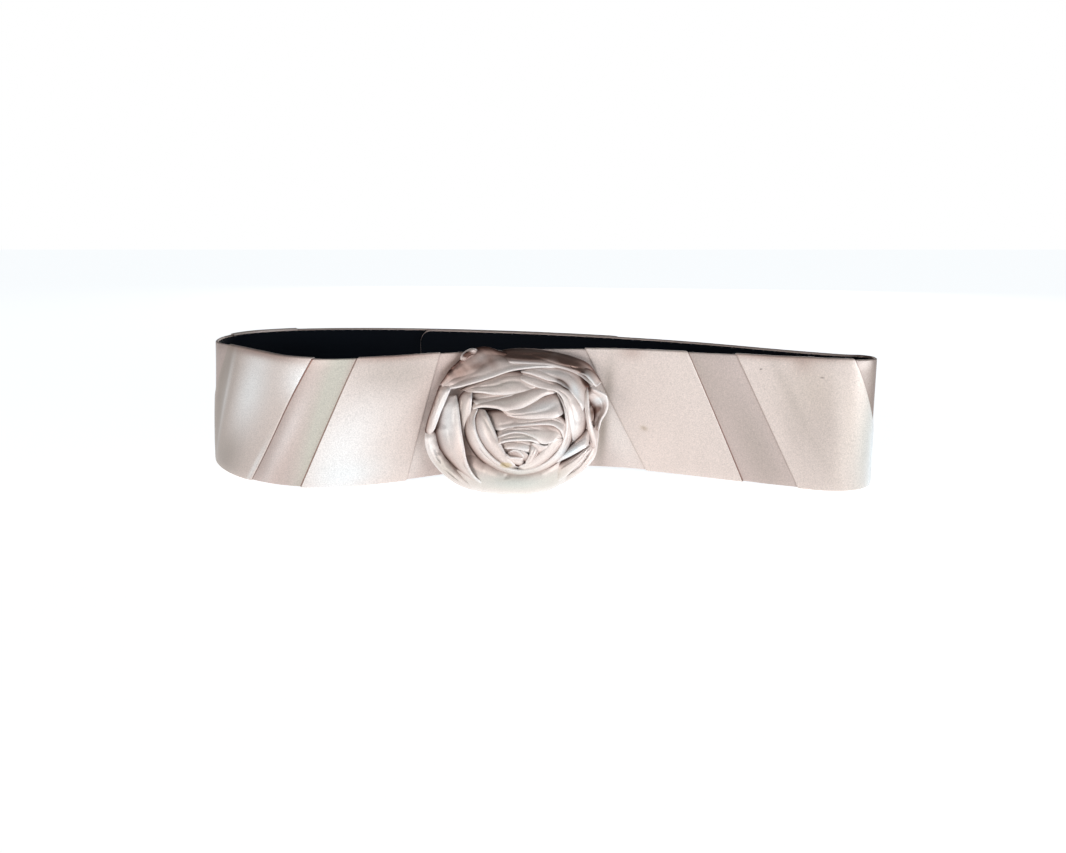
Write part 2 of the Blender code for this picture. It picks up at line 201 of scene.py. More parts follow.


# Painted highlights and shade on the cloth, and a few small spots: the place along the strip and up it in
# millimetres, how far it slants about the level, its half sizes, how much of it shows and its colour.
PAINTED_LIGHT_COLUMNS = ("run", "height", "slant", "wide", "tall", "share", "tone")
PATCH_LEVEL = 33.0
WRAP_PAINTED_LIGHT = (
    (598.0, 45.0, 0.45, 15.0, 24.0, 0.95, Tone.PEARL),
    (629.0, 36.0, 0.35, 15.0, 48.0, 1.20, Tone.TAUPE),
    (621.0, 42.0, 0.35, 3.0, 24.0, 0.45, Tone.PEARL),
    (606.0, 8.0, 0.45, 20.0, 15.0, 0.85, Tone.TAUPE),
    (570.0, 8.0, 0.65, 1.6, 12.0, 0.60, Tone.PEARL),
    (558.0, 54.0, 0.30, 12.0, 10.0, 0.95, Tone.PEARL),
    (582.0, 64.6, 0.0, 34.0, 2.6, 0.80, Tone.SHADE),
    (551.0, 62.5, 0.3, 5.0, 3.6, 0.70, Tone.SHADE),
    (556.0, 60.0, 0.9, 2.2, 3.0, 0.60, Tone.BROWN),
    (533.0, 20.0, 0.40, 16.0, 26.0, 0.75, Tone.PEARL),
    (525.0, 6.0, 0.40, 16.0, 9.0, 0.50, Tone.ICE),
    (510.0, 57.0, 0.0, 20.0, 11.0, 0.50, Tone.TAUPE),
    (510.0, 65.0, 0.0, 22.0, 2.2, 0.70, Tone.SHADE),
    (499.0, 42.0, 0.30, 7.0, 22.0, 0.45, Tone.ROSE),
    (284.0, 30.0, 0.05, 8.0, 30.0, 0.25, Tone.SAND),
    (274.0, 26.0, 0.05, 7.0, 34.0, 0.60, Tone.MINT),
    (312.0, 30.0, -0.45, 5.0, 18.0, 0.20, Tone.TAUPE),
    (300.0, 50.0, -0.20, 14.0, 12.0, 0.25, Tone.SAND),
    # A painted shadow of the flower on the wrap at its right
    (402.4, 42.0, 0.06, 2.8, 14.0, 0.80, Tone.TAUPE),
    (390.0, 64.0, 0.0, 6.0, 4.0, 0.40, Tone.SHADE),
    (309.0, 63.0, 0.0, 5.0, 5.0, 0.40, Tone.SHADE),
    (322.0, 65.2, 0.0, 34.0, 2.0, 0.65, Tone.SHADE),
    (306.0, 44.0, -0.55, 3.0, 30.0, 0.28, Tone.TAUPE),
    (298.0, 36.0, -0.30, 12.0, 30.0, 0.32, Tone.TAUPE),
    (266.0, 18.0, 0.0, 6.0, 34.0, 0.95, Tone.ICE),
    (386.5, 24.0, -0.45, 1.7, 1.3, 0.55, Tone.SPOT),
    (328.0, 58.5, 0.0, 0.5, 0.35, 0.75, Tone.DEEP_SHADE),
    (300.0, 56.0, 0.0, 0.8, 0.4, 0.60, Tone.DEEP_SHADE),
)
BAND_PAINTED_LIGHT = (
    (545.5, 38.0, 0.36, 7.0, 52.0, 1.30, Tone.SAGE),
    (560.0, 20.0, 0.58, 4.0, 24.0, 0.40, Tone.PEARL),
    (560.0, 10.0, 0.50, 5.0, 20.0, 0.35, Tone.ROSE),
    (352.0, 58.0, -0.45, 14.0, 26.0, 0.62, Tone.TAUPE),
    (333.0, 18.0, -0.45, 9.0, 30.0, 0.50, Tone.TAUPE),
    (311.0, 6.0, -0.45, 6.0, 12.0, 0.70, Tone.PEARL),
    # Painted shade on both ends of the loop, where they turn away from the light
    (268.0, 40.0, 0.0, 16.0, 60.0, 0.95, Tone.TAUPE),
    (260.0, 40.0, 0.0, 16.0, 60.0, 0.95, Tone.BROWN),
    (676.0, 34.0, 0.0, 30.0, 60.0, 0.95, Tone.TAUPE),
    (662.0, 40.0, 0.0, 22.0, 60.0, 0.60, Tone.BROWN),
    # Painted shade on the band beside the flower's left side
    (484.0, 48.0, 0.0, 9.0, 24.0, 0.85, Tone.ROSE),
    (479.0, 52.0, 0.0, 5.0, 18.0, 0.45, Tone.SHADE),
    (497.0, 10.0, 0.40, 9.0, 14.0, 0.75, Tone.CREAM),
    (402.0, 24.0, -0.45, 14.0, 28.0, 0.95, Tone.CREAM),
    # A painted shadow of the flower on the band at its right
    (403.6, 22.0, 0.06, 3.0, 22.0, 1.00, Tone.TAUPE),
)

# Painted highlights and painted shade on the flower, dark in its hollows and gaps, in the frame in which
# its folds are drawn: the place to the right and up in millimetres, its half sizes, its turn in degrees,
# how much shows and its colour.
FLOWER_PAINTED_COLUMNS = ("right", "up", "wide", "tall", "turn", "share", "tone")
FLOWER_PAINTED_LIGHT = (
    (-18.0, 27.0, 7.0, 3.0, 20.0, 0.85, Tone.BROWN),
    (-24.4, 32.6, 2.2, 1.1, 25.0, 2.20, Tone.DEEP_SHADE),
    (-12.5, 29.5, 2.2, 5.0, 30.0, 0.55, Tone.SHADE),
    (-29.0, 22.5, 9.5, 5.0, 34.0, 0.85, Tone.SHADE),
    (-18.0, 31.5, 4.0, 2.0, 20.0, 0.35, Tone.PEARL),
    (4.0, 33.4, 19.0, 4.6, -4.0, 1.60, Tone.BROWN),
    (27.0, 28.6, 12.0, 4.6, -28.0, 1.30, Tone.BROWN),
    (8.0, 28.6, 13.0, 1.0, -3.0, 0.60, Tone.DEEP_SHADE),
    (30.0, 21.0, 6.0, 2.2, -40.0, 0.40, Tone.ROSE),
    (24.0, 17.6, 3.6, 1.3, -38.0, 2.40, Tone.BROWN),
    (25.6, 16.0, 2.4, 0.8, -38.0, 1.60, Tone.DEEP_SHADE),
    (30.5, 14.0, 1.8, 4.4, 24.0, 0.90, Tone.PEARL),
    (34.6, 20.4, 1.5, 4.0, 30.0, 3.20, Tone.BROWN),
    (34.9, 18.6, 0.9, 2.6, 25.0, 1.80, Tone.DEEP_SHADE),
    (37.6, 19.4, 1.0, 3.2, 28.0, 0.90, Tone.PEARL),
    (40.2, 4.8, 3.2, 1.9, 35.0, 1.60, Tone.BROWN),
    (41.8, 9.4, 3.2, 1.8, 10.0, 1.40, Tone.PEARL),
    (34.5, 4.0, 1.8, 6.0, 5.0, 0.45, Tone.PEARL),
    (-20.7, 10.2, 1.8, 1.1, -20.0, 0.85, Tone.DEEP_SHADE),
    (-27.5, 4.0, 2.2, 8.0, 5.0, 0.40, Tone.SAGE),
    (-35.5, -1.0, 5.5, 14.0, -8.0, 1.10, Tone.PEARL),
    (-43.0, -13.0, 2.6, 7.0, 15.0, 0.60, Tone.PEARL),
    (-36.0, -24.0, 7.0, 4.0, -42.0, 0.60, Tone.SAGE),
    (0.0, -31.5, 24.0, 6.0, 0.0, 0.95, Tone.MINT),
    (20.0, -29.0, 9.0, 3.5, 30.0, 0.45, Tone.SAGE),
    (-23.0, -19.5, 7.0, 4.5, -40.0, 0.55, Tone.ROSE),
    (-17.5, -8.5, 2.6, 9.0, 15.0, 0.55, Tone.PEARL),
    (-13.0, -3.0, 1.5, 6.0, 25.0, 0.45, Tone.SAGE),
    (-4.0, 0.0, 9.0, 2.6, -6.0, 0.50, Tone.ROSE),
    (14.5, 6.0, 9.0, 3.0, 12.0, 0.60, Tone.PEARL),
    (-2.0, 9.5, 12.0, 1.8, 8.0, 0.35, Tone.SAGE),
    (-6.0, 17.0, 10.0, 2.6, 15.0, 0.30, Tone.SAGE),
    (17.0, 24.5, 12.0, 1.8, -12.0, 0.45, Tone.PEARL),
    (7.0, -9.0, 10.0, 1.6, 4.0, 0.45, Tone.SAGE),
    (27.5, -16.5, 7.0, 3.0, 28.0, 1.00, Tone.ICE),
    (30.5, -2.0, 2.4, 8.0, -12.0, 0.45, Tone.PEARL),
    (38.5, -14.0, 1.8, 8.0, -12.0, 0.35, Tone.ROSE),
    (-1.5, -17.8, 4.0, 1.8, -5.0, 0.50, Tone.SHADE),
    (5.0, -14.5, 4.0, 1.6, 0.0, 0.50, Tone.PEARL),
)


# The painted shade and shadow line on the band beside each wrap's end, and the painted shade deep in
# each turn of the flower: from where to where each fades, in millimetres from the wrap's end or the
# turn's sewn line, its share and its colour. The rim's painted highlight grows over its range instead.
SEAM_SHADES = (((0.4, 4.0), 0.14, Tone.SHADE), ((0.30, 0.85), 1.0, Tone.LINE_SHADOW))
ROOT_SHADES = (((0.0, 5.6), 0.66, Tone.SHADE), ((0.3, 2.4), 0.90, Tone.DEEP_SHADE))
RIM_LIGHT = ((7.4, 9.2), 0.42, Tone.PEARL)

# The stain: its place as the folds are drawn, its half sizes, how its edge is frayed and its share
STAIN_PLACE = (-4.6, -22.6, 26.0)
STAIN_WIDE = 3.0 * MM
STAIN_TALL = 1.7 * MM
STAIN_GRAIN = 420.0
STAIN_RAGGED = 1.1
STAIN_EDGE = (0.35, 1.25)
STAIN_SHARE = 0.62


def smooth(t: float) -> float:
    """Eases 0 to 1 with flat ends."""
    t = min(max(t, 0.0), 1.0)
    return t * t * (3.0 - 2.0 * t)


def catmull(a: Vector, b: Vector, c: Vector, d: Vector, t: float) -> Vector:
    """Gives a point of the smooth curve through four points.

    Args:
        a, b, c, d: the points, in order.
        t: the place on the curve, from 0 at b to 1 at c.

    Returns:
        The point.
    """
    return 0.5 * (
        2 * b
        + (c - a) * t
        + (2 * a - 5 * b + 4 * c - d) * t * t
        + (3 * b - 3 * c + d - a) * t * t * t
    )


class BeltPath:
    """The closed loop that the strip follows, read by distance along its lower edge."""

    STEPS = 24
    PROBE = 1.5 * MM

    def __init__(self) -> None:
        """Lays the loop's points and measures the way along them."""
        rows = [Vector(r) * MM for r in PATH_ROWS]
        count = len(rows)
        self.points: list[Vector] = []
        for i in range(count):
            a, b, c, d = (rows[(i + k) % count] for k in (-1, 0, 1, 2))
            for k in range(self.STEPS):
                self.points.append(catmull(a, b, c, d, k / self.STEPS))
        self.points.append(self.points[0].copy())
        self.reach: list[float] = [0.0]
        for p, q in zip(self.points, self.points[1:]):
            self.reach.append(self.reach[-1] + math.hypot(q[0] - p[0], q[1] - p[1]))
        self.length = self.reach[-1]

    def at(self, run: float) -> Vector:
        """Reads the path at a distance along the loop.

        Args:
            run: the distance in metres, which may pass the loop's end.

        Returns:
            x, y, the upper edge's lean in x and y, and the lift.
        """
        run = run % self.length
        low = min(bisect_right(self.reach, run), len(self.reach) - 1) - 1
        share = (run - self.reach[low]) / (self.reach[low + 1] - self.reach[low])
        return self.points[low].lerp(self.points[low + 1], share)

    def outward(self, run: float, share: float) -> Vector:
        """Gives the level direction out of the loop.

        Args:
            run: the distance along the loop in metres.
            share: the share of the band's height, because the loop's form changes with it.

        Returns:
            The direction in x and y, one long.
        """
        along = self.at(run + self.PROBE) - self.at(run - self.PROBE)
        along = Vector((along[0] + along[2] * share, along[1] + along[3] * share))
        along.normalize()
        return Vector((-along[1], along[0]))


PATH = BeltPath()


def lap_offset(run: float) -> float:
    """Gives how far the strip stands off the loop, so that its two ends pass each other.

    Args:
        run: the distance along the strip in metres.

    Returns:
        The way out of the loop in metres, negative at the inner end.
    """
    inner = 1.0 - smooth((run - OVERLAP) / OVERLAP_RAMP)
    outer = smooth((run - PATH.length + OVERLAP_RAMP) / OVERLAP_RAMP)
    return 0.5 * OVERLAP_PITCH * (outer - inner)


def crease_offset(run: float, height: float) -> float:
    """Gives how far the cloth's soft creases move it out.

    Args:
        run: the distance along the strip in metres.
        height: the height above the wraps' lower lip.

    Returns:
        The way out of the loop in metres.
    """
    rise = height / LEAN_HEIGHT - 0.5
    total = 0.0
    place_along = run % PATH.length / MM
    for place, slant, width, depth in CREASE_ROWS:
        away = (place_along - place + slant * rise) / width
        if abs(away) < CREASE_REACH:
            total += depth * math.exp(-away * away)
    return total * MM * smooth(CREASE_EDGE_RATE * (0.5 - abs(rise)) + CREASE_EDGE_SHARE)


def panel_point(run: float, out: float, height: float, crease: float = 1.0) -> Vector:
    """Gives a point of the band by its place on the strip.

    Args:
        run: the distance along the strip in metres.
        out: the distance out of the loop from the band's middle.
        height: the height above the wraps' lower lip.
        crease: the share of the soft creases that moves the point.

    Returns:
        The point in the belt's frame.
    """
    x, y, lean_x, lean_y, lift = PATH.at(run)
    share = height / LEAN_HEIGHT
    away = PATH.outward(run, share) * (out + lap_offset(run) + crease * crease_offset(run, height))
    return Vector((
        x + lean_x * share + away.x - CENTRE_X,
        y + lean_y * share + away.y - CENTRE_Y,
        height + max(lift, 0.0),
    ))


def flower_seat() -> Vector:
    """The middle of the flower's back, on the band's face."""
    return panel_point(FLOWER_RUN, 0.5 * BAND_WALL, 0.5 * LEAN_HEIGHT, 0.0)


def flower_axes() -> tuple[Vector, Vector, Vector]:
    """The directions to the right, up and towards the eye in which the flower's folds are drawn."""
    cosine, sine = math.cos(FLOWER_TILT), math.sin(FLOWER_TILT)
    return Vector((1.0, 0.0, 0.0)), Vector((0.0, sine, cosine)), Vector((0.0, -cosine, sine))


def flower_point(drawn: Sequence[float]) -> Vector:
    """Gives a point of the flower from its place as drawn from the front.

    Args:
        drawn: millimetres to the right, up and towards the eye.

    Returns:
        The point in the belt's frame, held clear of the floor.
    """
    right, up, near = (value * MM for value in drawn)
    shrink = 1.0 - near / EYE_DISTANCE
    _, upward, toward = flower_axes()
    point = flower_seat() + upward * (up - FLOWER_DROP) * shrink + toward * near
    point.x += right * shrink
    point.z = max(point.z, FLOWER_CLEARANCE)
    return point


def new_object(name: str, data: bpy.types.ID) -> bpy.types.Object:
    """Adds an object with the given mesh, light or camera to the scene."""
    obj = bpy.data.objects.new(name, data)
    bpy.context.scene.collection.objects.link(obj)
    return obj


def new_mesh(name: str, bm: bmesh.types.BMesh) -> bpy.types.Mesh:
    """Turns a finished bmesh into a mesh and frees it."""
    mesh = bpy.data.meshes.new(name)
    bm.to_mesh(mesh)
    bm.free()
    return mesh


def add_node(tree: bpy.types.NodeTree, kind: str, settings: dict | None = None,
             sockets: dict | None = None) -> bpy.types.Node:
    """Adds a node to a tree of any kind.

    Args:
        tree: the tree that gets it.
        kind: the node's type.
        settings: the node's own settings, set first.
        sockets: values, fields or sockets for its inputs, by name or number.

    Returns:
        The node.
    """
    node = tree.nodes.new(kind)
    for name, value in (settings or {}).items():
        setattr(node, name, value)
    for key, value in (sockets or {}).items():
        value = value.socket if isinstance(value, Field) else value
        if isinstance(value, bpy.types.NodeSocket):
            tree.links.new(value, node.inputs[key])
        else:
            node.inputs[key].default_value = value
    return node


class Field:
    """A shader value that takes Python's arithmetic operators."""

    def __init__(self, canvas: "Canvas", socket: bpy.types.NodeSocket) -> None:
        """Wraps a node's output socket."""
        self.canvas = canvas
        self.socket = socket

    def _join(self, operation: str, *values: "Field | float") -> "Field":
        """Adds one Math node that works on the values."""
        return self.canvas.add("ShaderNodeMath", {"operation": operation}, dict(enumerate(values)))

    def __add__(self, other: "Field | float") -> "Field":
        """self + other."""
        return self._join("ADD", self, other)

    def __radd__(self, other: float) -> "Field":
        """other + self."""
        return self._join("ADD", other, self)

    def __sub__(self, other: "Field | float") -> "Field":
        """self - other."""
        return self._join("SUBTRACT", self, other)

    def __rsub__(self, other: float) -> "Field":
        """other - self."""
        return self._join("SUBTRACT", other, self)

    def __mul__(self, other: "Field | float") -> "Field":
        """self * other."""
        return self._join("MULTIPLY", self, other)

    def __truediv__(self, other: "Field | float") -> "Field":
        """self / other."""
        return self._join("DIVIDE", self, other)

    def size(self) -> "Field":
        """The value without its sign."""
        return self._join("ABSOLUTE", self)

    def bell(self) -> "Field":
        """1 where the value is 0, falling softly to 0 as it grows."""
        return self._join("EXPONENT", 0.0 - self)

    def clamp(self, low: float = 0.0, high: float = 1.0) -> "Field":
        """self held between low and high."""
        return self._join("MINIMUM", self._join("MAXIMUM", self, low), high)

    def step(self, low: float, high: float) -> "Field":
        """0 below low and 1 above high, eased between them."""
        return self.canvas.add(
            "ShaderNodeMapRange", {"interpolation_type": "SMOOTHSTEP", "clamp": True},
            {"Value": self, "From Min": low, "From Max": high}, "Result",
        )


class Canvas:
    """A material's node tree, with one method that adds any node."""

    def __init__(self, name: str) -> None:
        """Makes a material of the given name with a Principled shader."""
        self.material = bpy.data.materials.new(name)
        self.material.use_nodes = True
        self.tree = self.material.node_tree
        self.shader = self.tree.nodes["Principled BSDF"]

    def add(self, kind: str, settings: dict | None = None, sockets: dict | None = None,
            output: int | str = 0) -> Field:
        """Adds a node and wraps one of its outputs.

        Args:
            kind: the node's type.
            settings: the node's own settings.
            sockets: values, fields or sockets for its inputs, by name or number.
            output: the output's name or number.

        Returns:
            The output as a field.
        """
        return Field(self, add_node(self.tree, kind, settings, sockets).outputs[output])

    def place(self) -> Field:
        """The piece's own coordinates, in metres."""
        return self.add("ShaderNodeTexCoord", output="Object")

    def along(self) -> Field:
        """The cloth's own measure: millimetres along it and across it."""
        return self.add("ShaderNodeUVMap", {"uv_map": CLOTH_UV}, output="UV")

    def scaled(self, vector: Field, factors: Sequence[float]) -> Field:
        """A vector stretched by fixed factors."""
        return self.add("ShaderNodeMapping", {"vector_type": "POINT"}, {"Vector": vector, "Scale": factors})

    def grain(self, vector: Field, scale: float = 1.0, detail: float = 2.0, rough: float = 0.5) -> Field:
        """Soft noise from 0 to 1."""
        return self.add("ShaderNodeTexNoise", {"noise_dimensions": "3D"},
                        {"Vector": vector, "Scale": scale, "Detail": detail, "Roughness": rough})

    def parts(self, vector: Field) -> tuple[Field, Field, Field]:
        """A vector's three components."""
        node = add_node(self.tree, "ShaderNodeSeparateXYZ", {}, {0: vector})
        return tuple(Field(self, out) for out in node.outputs)

    def mix(self, factor: Field | float, a: Field | Colour, b: Field | Colour, blend: str = "MIX") -> Field:
        """Mixes two colours.

        Args:
            factor: the share of the second colour.
            a: the first colour.
            b: the second colour.
            blend: how the second one is laid on the first.

        Returns:
            The mixed colour.
        """
        a, b = ((*colour, 1.0) if isinstance(colour, tuple) else colour for colour in (a, b))
        return self.add("ShaderNodeMix", {"data_type": "RGBA", "blend_type": blend},
                        {0: factor, 6: a, 7: b}, 2)

    def feed(self, name: str, value: Field) -> None:
        """Links a field to one of the shader's inputs."""
        self.tree.links.new(value.socket, self.shader.inputs[name])

    def hold(self, **values: float | Sequence[float]) -> None:
        """Sets the shader's inputs that are the same all over."""
        for name, value in values.items():
            self.shader.inputs[name.replace("_", " ")].default_value = value

    def bump(self, height: Field, distance: float, strength: float) -> None:
        """Raises the surface by a height field.

        Args:
            height: field from 0 to 1.
            distance: the height of 1, in metres.
            strength: share of the slope that shows.
        """
        sockets = {"Height": height, "Distance": distance, "Strength": strength}
        self.feed("Normal", self.add("ShaderNodeBump", {}, sockets, "Normal"))


@dataclass(frozen=True)
class SatinFinish:
    """Woven satin: a close smooth face with a fine sparkle, soft streaks and a little wear, under rows of
    painted highlights and painted shade.
    """

    name: str
    tone: Colour
    painted_light: tuple[tuple, ...] = ()
    end_shade: bool = False
    rolled: bool = False
    gleam: tuple[float, float, float, float] = (1.0, 0.96, 0.94, 1.0)
    darker: float = 0.90
    broad_scale: float = 22.0
    broad_shade: float = 0.80
    streak_stretch: tuple[float, float, float] = (0.10, 0.018, 1.0)
    streak: float = 0.60
    middle_shade: float = 0.45
    fine_scale: float = 1700.0
    fine_detail: float = 1.5
    fine_rough: float = 0.7
    sparkle: float = 0.68
    float_stretch: tuple[float, float, float] = (2.6, 0.55, 1.0)
    float_glint: float = 0.12
    float_bump: float = 0.4
    bump_height: float = 0.07 * MM
    bump_strength: float = 0.75
    roughness: float = 0.40
    rough_fine: float = 0.24
    rough_broad: float = 0.10
    rough_range: tuple[float, float] = (0.22, 0.70)
    dark_below: float = 0.36
    dark_rate: float = 2.6
    metal_range: tuple[float, float] = (0.18, 0.92)

    def material(self) -> bpy.types.Material:
        """Builds the material. Dark tones shine less white, as the folds' depths do.

        Returns:
            The finished material.
        """
        canvas = Canvas(self.name)
        place, cloth = canvas.place(), canvas.along()
        broad = canvas.grain(place, self.broad_scale, 3.0)
        soft = canvas.grain(canvas.scaled(cloth, self.streak_stretch))
        fine = canvas.grain(place, self.fine_scale, self.fine_detail, self.fine_rough)
        floats = canvas.grain(canvas.scaled(cloth, self.float_stretch))
        shade = (broad - 0.5) * self.broad_shade + (soft - 0.5) * self.streak
        worn = tuple(self.darker * c for c in self.tone)
        tint = self.paint_light(canvas, canvas.mix((shade + self.middle_shade).clamp(), worn, self.tone))
        # Painted shade and shadow lines on the band beside the wraps' ends
        if self.end_shade:
            tint = self.paint_end_shade(canvas, tint)
        # On the flower: painted highlights and shade, painted shade towards each turn's sewn line, and a
        # stain
        if self.rolled:
            tint = self.paint_flower_light(canvas, place, tint)
            tint = self.shaded_roots(canvas, tint)
            tint = self.stained(canvas, place, tint)
        light = 1.0 + ((fine - 0.5) * self.sparkle + (floats - 0.5) * self.float_glint)
        grey = canvas.add("ShaderNodeCombineColor", {}, {0: light, 1: light, 2: light})
        tint = canvas.mix(1.0, tint, grey, "MULTIPLY")
        rough = self.roughness + (fine - 0.5) * self.rough_fine + (broad - 0.5) * self.rough_broad
        _, green, _ = canvas.parts(tint)
        canvas.feed("Base Color", tint)
        canvas.feed("Roughness", rough.clamp(*self.rough_range))
        canvas.feed("Metallic", ((self.dark_below - green) * self.dark_rate).clamp(*self.metal_range))
        canvas.hold(Specular_IOR_Level=0.7, Specular_Tint=self.gleam, Sheen_Weight=0.12,
                    Sheen_Roughness=0.42, Sheen_Tint=self.gleam)
        relief = fine * (1.0 - self.float_bump) + floats * self.float_bump
        canvas.bump(relief, self.bump_height, self.bump_strength)
        return canvas.material

    def paint_light(self, canvas: Canvas, tint: Field) -> Field:
        """Lays the cloth's painted highlights and painted shade over the tone, each by its row.

        Args:
            canvas: the material in work.
            tint: its colour so far.

        Returns:
            The colour with the painted highlights and shade.
        """
        run, height, _ = canvas.parts(canvas.along())
        for row in self.painted_light:
            patch = dict(zip(PAINTED_LIGHT_COLUMNS, row))
            along = (run - patch["run"] + (height - PATCH_LEVEL) * patch["slant"]) * (1.0 / patch["wide"])
            up = (height - patch["height"]) * (1.0 / patch["tall"])
            tint = canvas.mix((along * along + up * up).bell() * patch["share"], tint, patch["tone"].value)
        return tint

    @staticmethod
    def paint_end_shade(canvas: Canvas, tint: Field) -> Field:
        """Paints the thin shade and shadow line on the band where each wrap's slanting end lies on it.

        Args:
            canvas: the material in work.
            tint: its colour so far.

        Returns:
            The colour with the painted shade and shadow lines.
        """
        run, height, _ = canvas.parts(canvas.along())
        for row in WRAP_ROWS:
            wrap = dict(zip(WRAP_COLUMNS, row))
            for end in ("from", "to"):
                low, high = wrap["bottom_" + end], wrap["top_" + end]
                rate = (high - low) / (LEAN_HEIGHT / MM)
                away = (run - low - height * rate).size()
                for (start, stop), share, tone in SEAM_SHADES:
                    shown = (1.0 - away.step(start, stop)) * (share * wrap[end + "_line"])
                    tint = canvas.mix(shown, tint, tone.value)
        return tint

    @staticmethod
    def shaded_roots(canvas: Canvas, tint: Field) -> Field:
        """Paints shade on each turn of the flower towards its sewn line, under the next turn, and a
        highlight along its fold.

        Args:
            canvas: the material in work.
            tint: its colour so far.

        Returns:
            The colour with the turns' painted shade and highlight.
        """
        _, across, _ = canvas.parts(canvas.along())
        for (start, stop), share, tone in ROOT_SHADES:
            tint = canvas.mix((1.0 - across.step(start, stop)) * share, tint, tone.value)
        (start, stop), share, tone = RIM_LIGHT
        return canvas.mix(across.step(start, stop) * share, tint, tone.value)

    @staticmethod
    def paint_flower_light(canvas: Canvas, place: Field, tint: Field) -> Field:
        """Lays the flower's painted highlights and painted shade, each by its row, as its folds are drawn.

        Args:
            canvas: the material in work.
            place: the piece's own coordinates.
            tint: the colour so far.

        Returns:
            The colour with the painted highlights and shade.
        """
        offset = canvas.add("ShaderNodeVectorMath", {"operation": "SUBTRACT"}, {0: place, 1: flower_seat()})
        right, up, near = (
            canvas.add("ShaderNodeVectorMath", {"operation": "DOT_PRODUCT"}, {0: offset, 1: axis}, "Value")
            for axis in flower_axes()
        )
        scale = (1.0 - near * (1.0 / EYE_DISTANCE)) * MM
        right, up = right / scale, up / scale + FLOWER_DROP / MM
        for row in FLOWER_PAINTED_LIGHT:
            painted = dict(zip(FLOWER_PAINTED_COLUMNS, row))
            cosine, sine = math.cos(math.radians(painted["turn"])), math.sin(math.radians(painted["turn"]))
            a, b = right - painted["right"], up - painted["up"]
            along = (a * cosine + b * sine) * (1.0 / painted["wide"])
            across = (b * cosine - a * sine) * (1.0 / painted["tall"])
            share = (along * along + across * across).bell() * painted["share"]
            tint = canvas.mix(share, tint, painted["tone"].value)
        return tint

    @staticmethod
    def stained(canvas: Canvas, place: Field, tint: Field) -> Field:
        """Lays a small yellowed stain on the lowest inner fold of the flower.

        Args:
            canvas: the material in work.
            place: the piece's own coordinates.
            tint: the colour so far.

        Returns:
            The colour with the stain.
        """
        spot = flower_point(STAIN_PLACE)
        x, _, z = canvas.parts(place)
        across, up = (x - spot.x) * (1.0 / STAIN_WIDE), (z - spot.z) * (1.0 / STAIN_TALL)
        ragged = (canvas.grain(place, STAIN_GRAIN, 3.0) - 0.5) * STAIN_RAGGED
        near = 1.0 - (across * across + up * up + ragged).step(*STAIN_EDGE)
        return canvas.mix(near * STAIN_SHARE, tint, Tone.STAIN.value)


@dataclass(frozen=True)
class LiningFinish:
    """Matt near-black backing cloth with a close plain weave and a little dust."""

    name: str = "lining_cloth_finish"
    weave_stretch: tuple[float, float, float] = (2.4, 2.4, 1.0)
    weave_height: float = 0.08 * MM
    weave_strength: float = 0.6
    broad_scale: float = 30.0
    lighter: float = 1.7
    dust_scale: float = 900.0
    dust_edge: tuple[float, float] = (0.70, 0.86)
    dust_share: float = 0.10
    dust_tone: Colour = (0.10, 0.10, 0.12)
    roughness: float = 0.72
    rough_weave: float = 0.25
    rough_range: tuple[float, float] = (0.5, 0.95)

    def material(self) -> bpy.types.Material:
        """Builds the material.

        Returns:
            The finished material.
        """
        canvas = Canvas(self.name)
        place = canvas.place()
        weave = canvas.grain(canvas.scaled(canvas.along(), self.weave_stretch), detail=1.0)
        broad = canvas.grain(place, self.broad_scale, 3.0)
        dust = canvas.grain(place, self.dust_scale).step(*self.dust_edge)
        tint = canvas.mix(broad, Tone.NAVY.value, tuple(self.lighter * c for c in Tone.NAVY.value))
        canvas.feed("Base Color", canvas.mix(dust * self.dust_share, tint, self.dust_tone))
        rough = self.roughness + (weave - 0.5) * self.rough_weave
        canvas.feed("Roughness", rough.clamp(*self.rough_range))
        canvas.hold(Specular_IOR_Level=0.10, Sheen_Weight=0.0)
        canvas.bump(weave, self.weave_height, self.weave_strength)
        return canvas.material


@dataclass(frozen=True)
class ThreadFinish:
    """Twisted sewing thread."""

    name: str = "lining_thread"
    tone: Colour = (0.035, 0.037, 0.048)
    darker: float = 0.72
    twist_scale: float = 1800.0
    roughness: float = 0.50
    rough_twist: float = 0.2

    def material(self) -> bpy.types.Material:
        """Builds the material.

        Returns:
            The finished material.
        """
        canvas = Canvas(self.name)
        twist = canvas.grain(canvas.place(), self.twist_scale, 1.0)
        canvas.feed("Base Color", canvas.mix(twist, tuple(self.darker * c for c in self.tone), self.tone))
        canvas.feed("Roughness", (self.roughness + twist * self.rough_twist).clamp())
        canvas.hold(Specular_IOR_Level=0.4, Sheen_Weight=0.2)
        return canvas.material


@dataclass(frozen=True)
class FloorFinish:
    """Plain pale studio floor that renders white, as the photo's ground is."""

    name: str = "studio_floor"
    tones: tuple[Colour, Colour] = ((0.52, 0.52, 0.52), (0.54, 0.54, 0.54))
    grain_scale: float = 3.0
    glow: tuple[float, float, float, float] = (0.95, 0.98, 1.0, 1.0)
    glow_strength: float = 0.96

    def material(self) -> bpy.types.Material:
        """Builds the material.

        Returns:
            The finished material.
        """
        canvas = Canvas(self.name)
        canvas.feed("Base Color", canvas.mix(canvas.grain(canvas.place(), self.grain_scale), *self.tones))
        canvas.hold(Roughness=0.9, Specular_IOR_Level=0.1, Emission_Color=self.glow,
                    Emission_Strength=self.glow_strength)
        return canvas.material


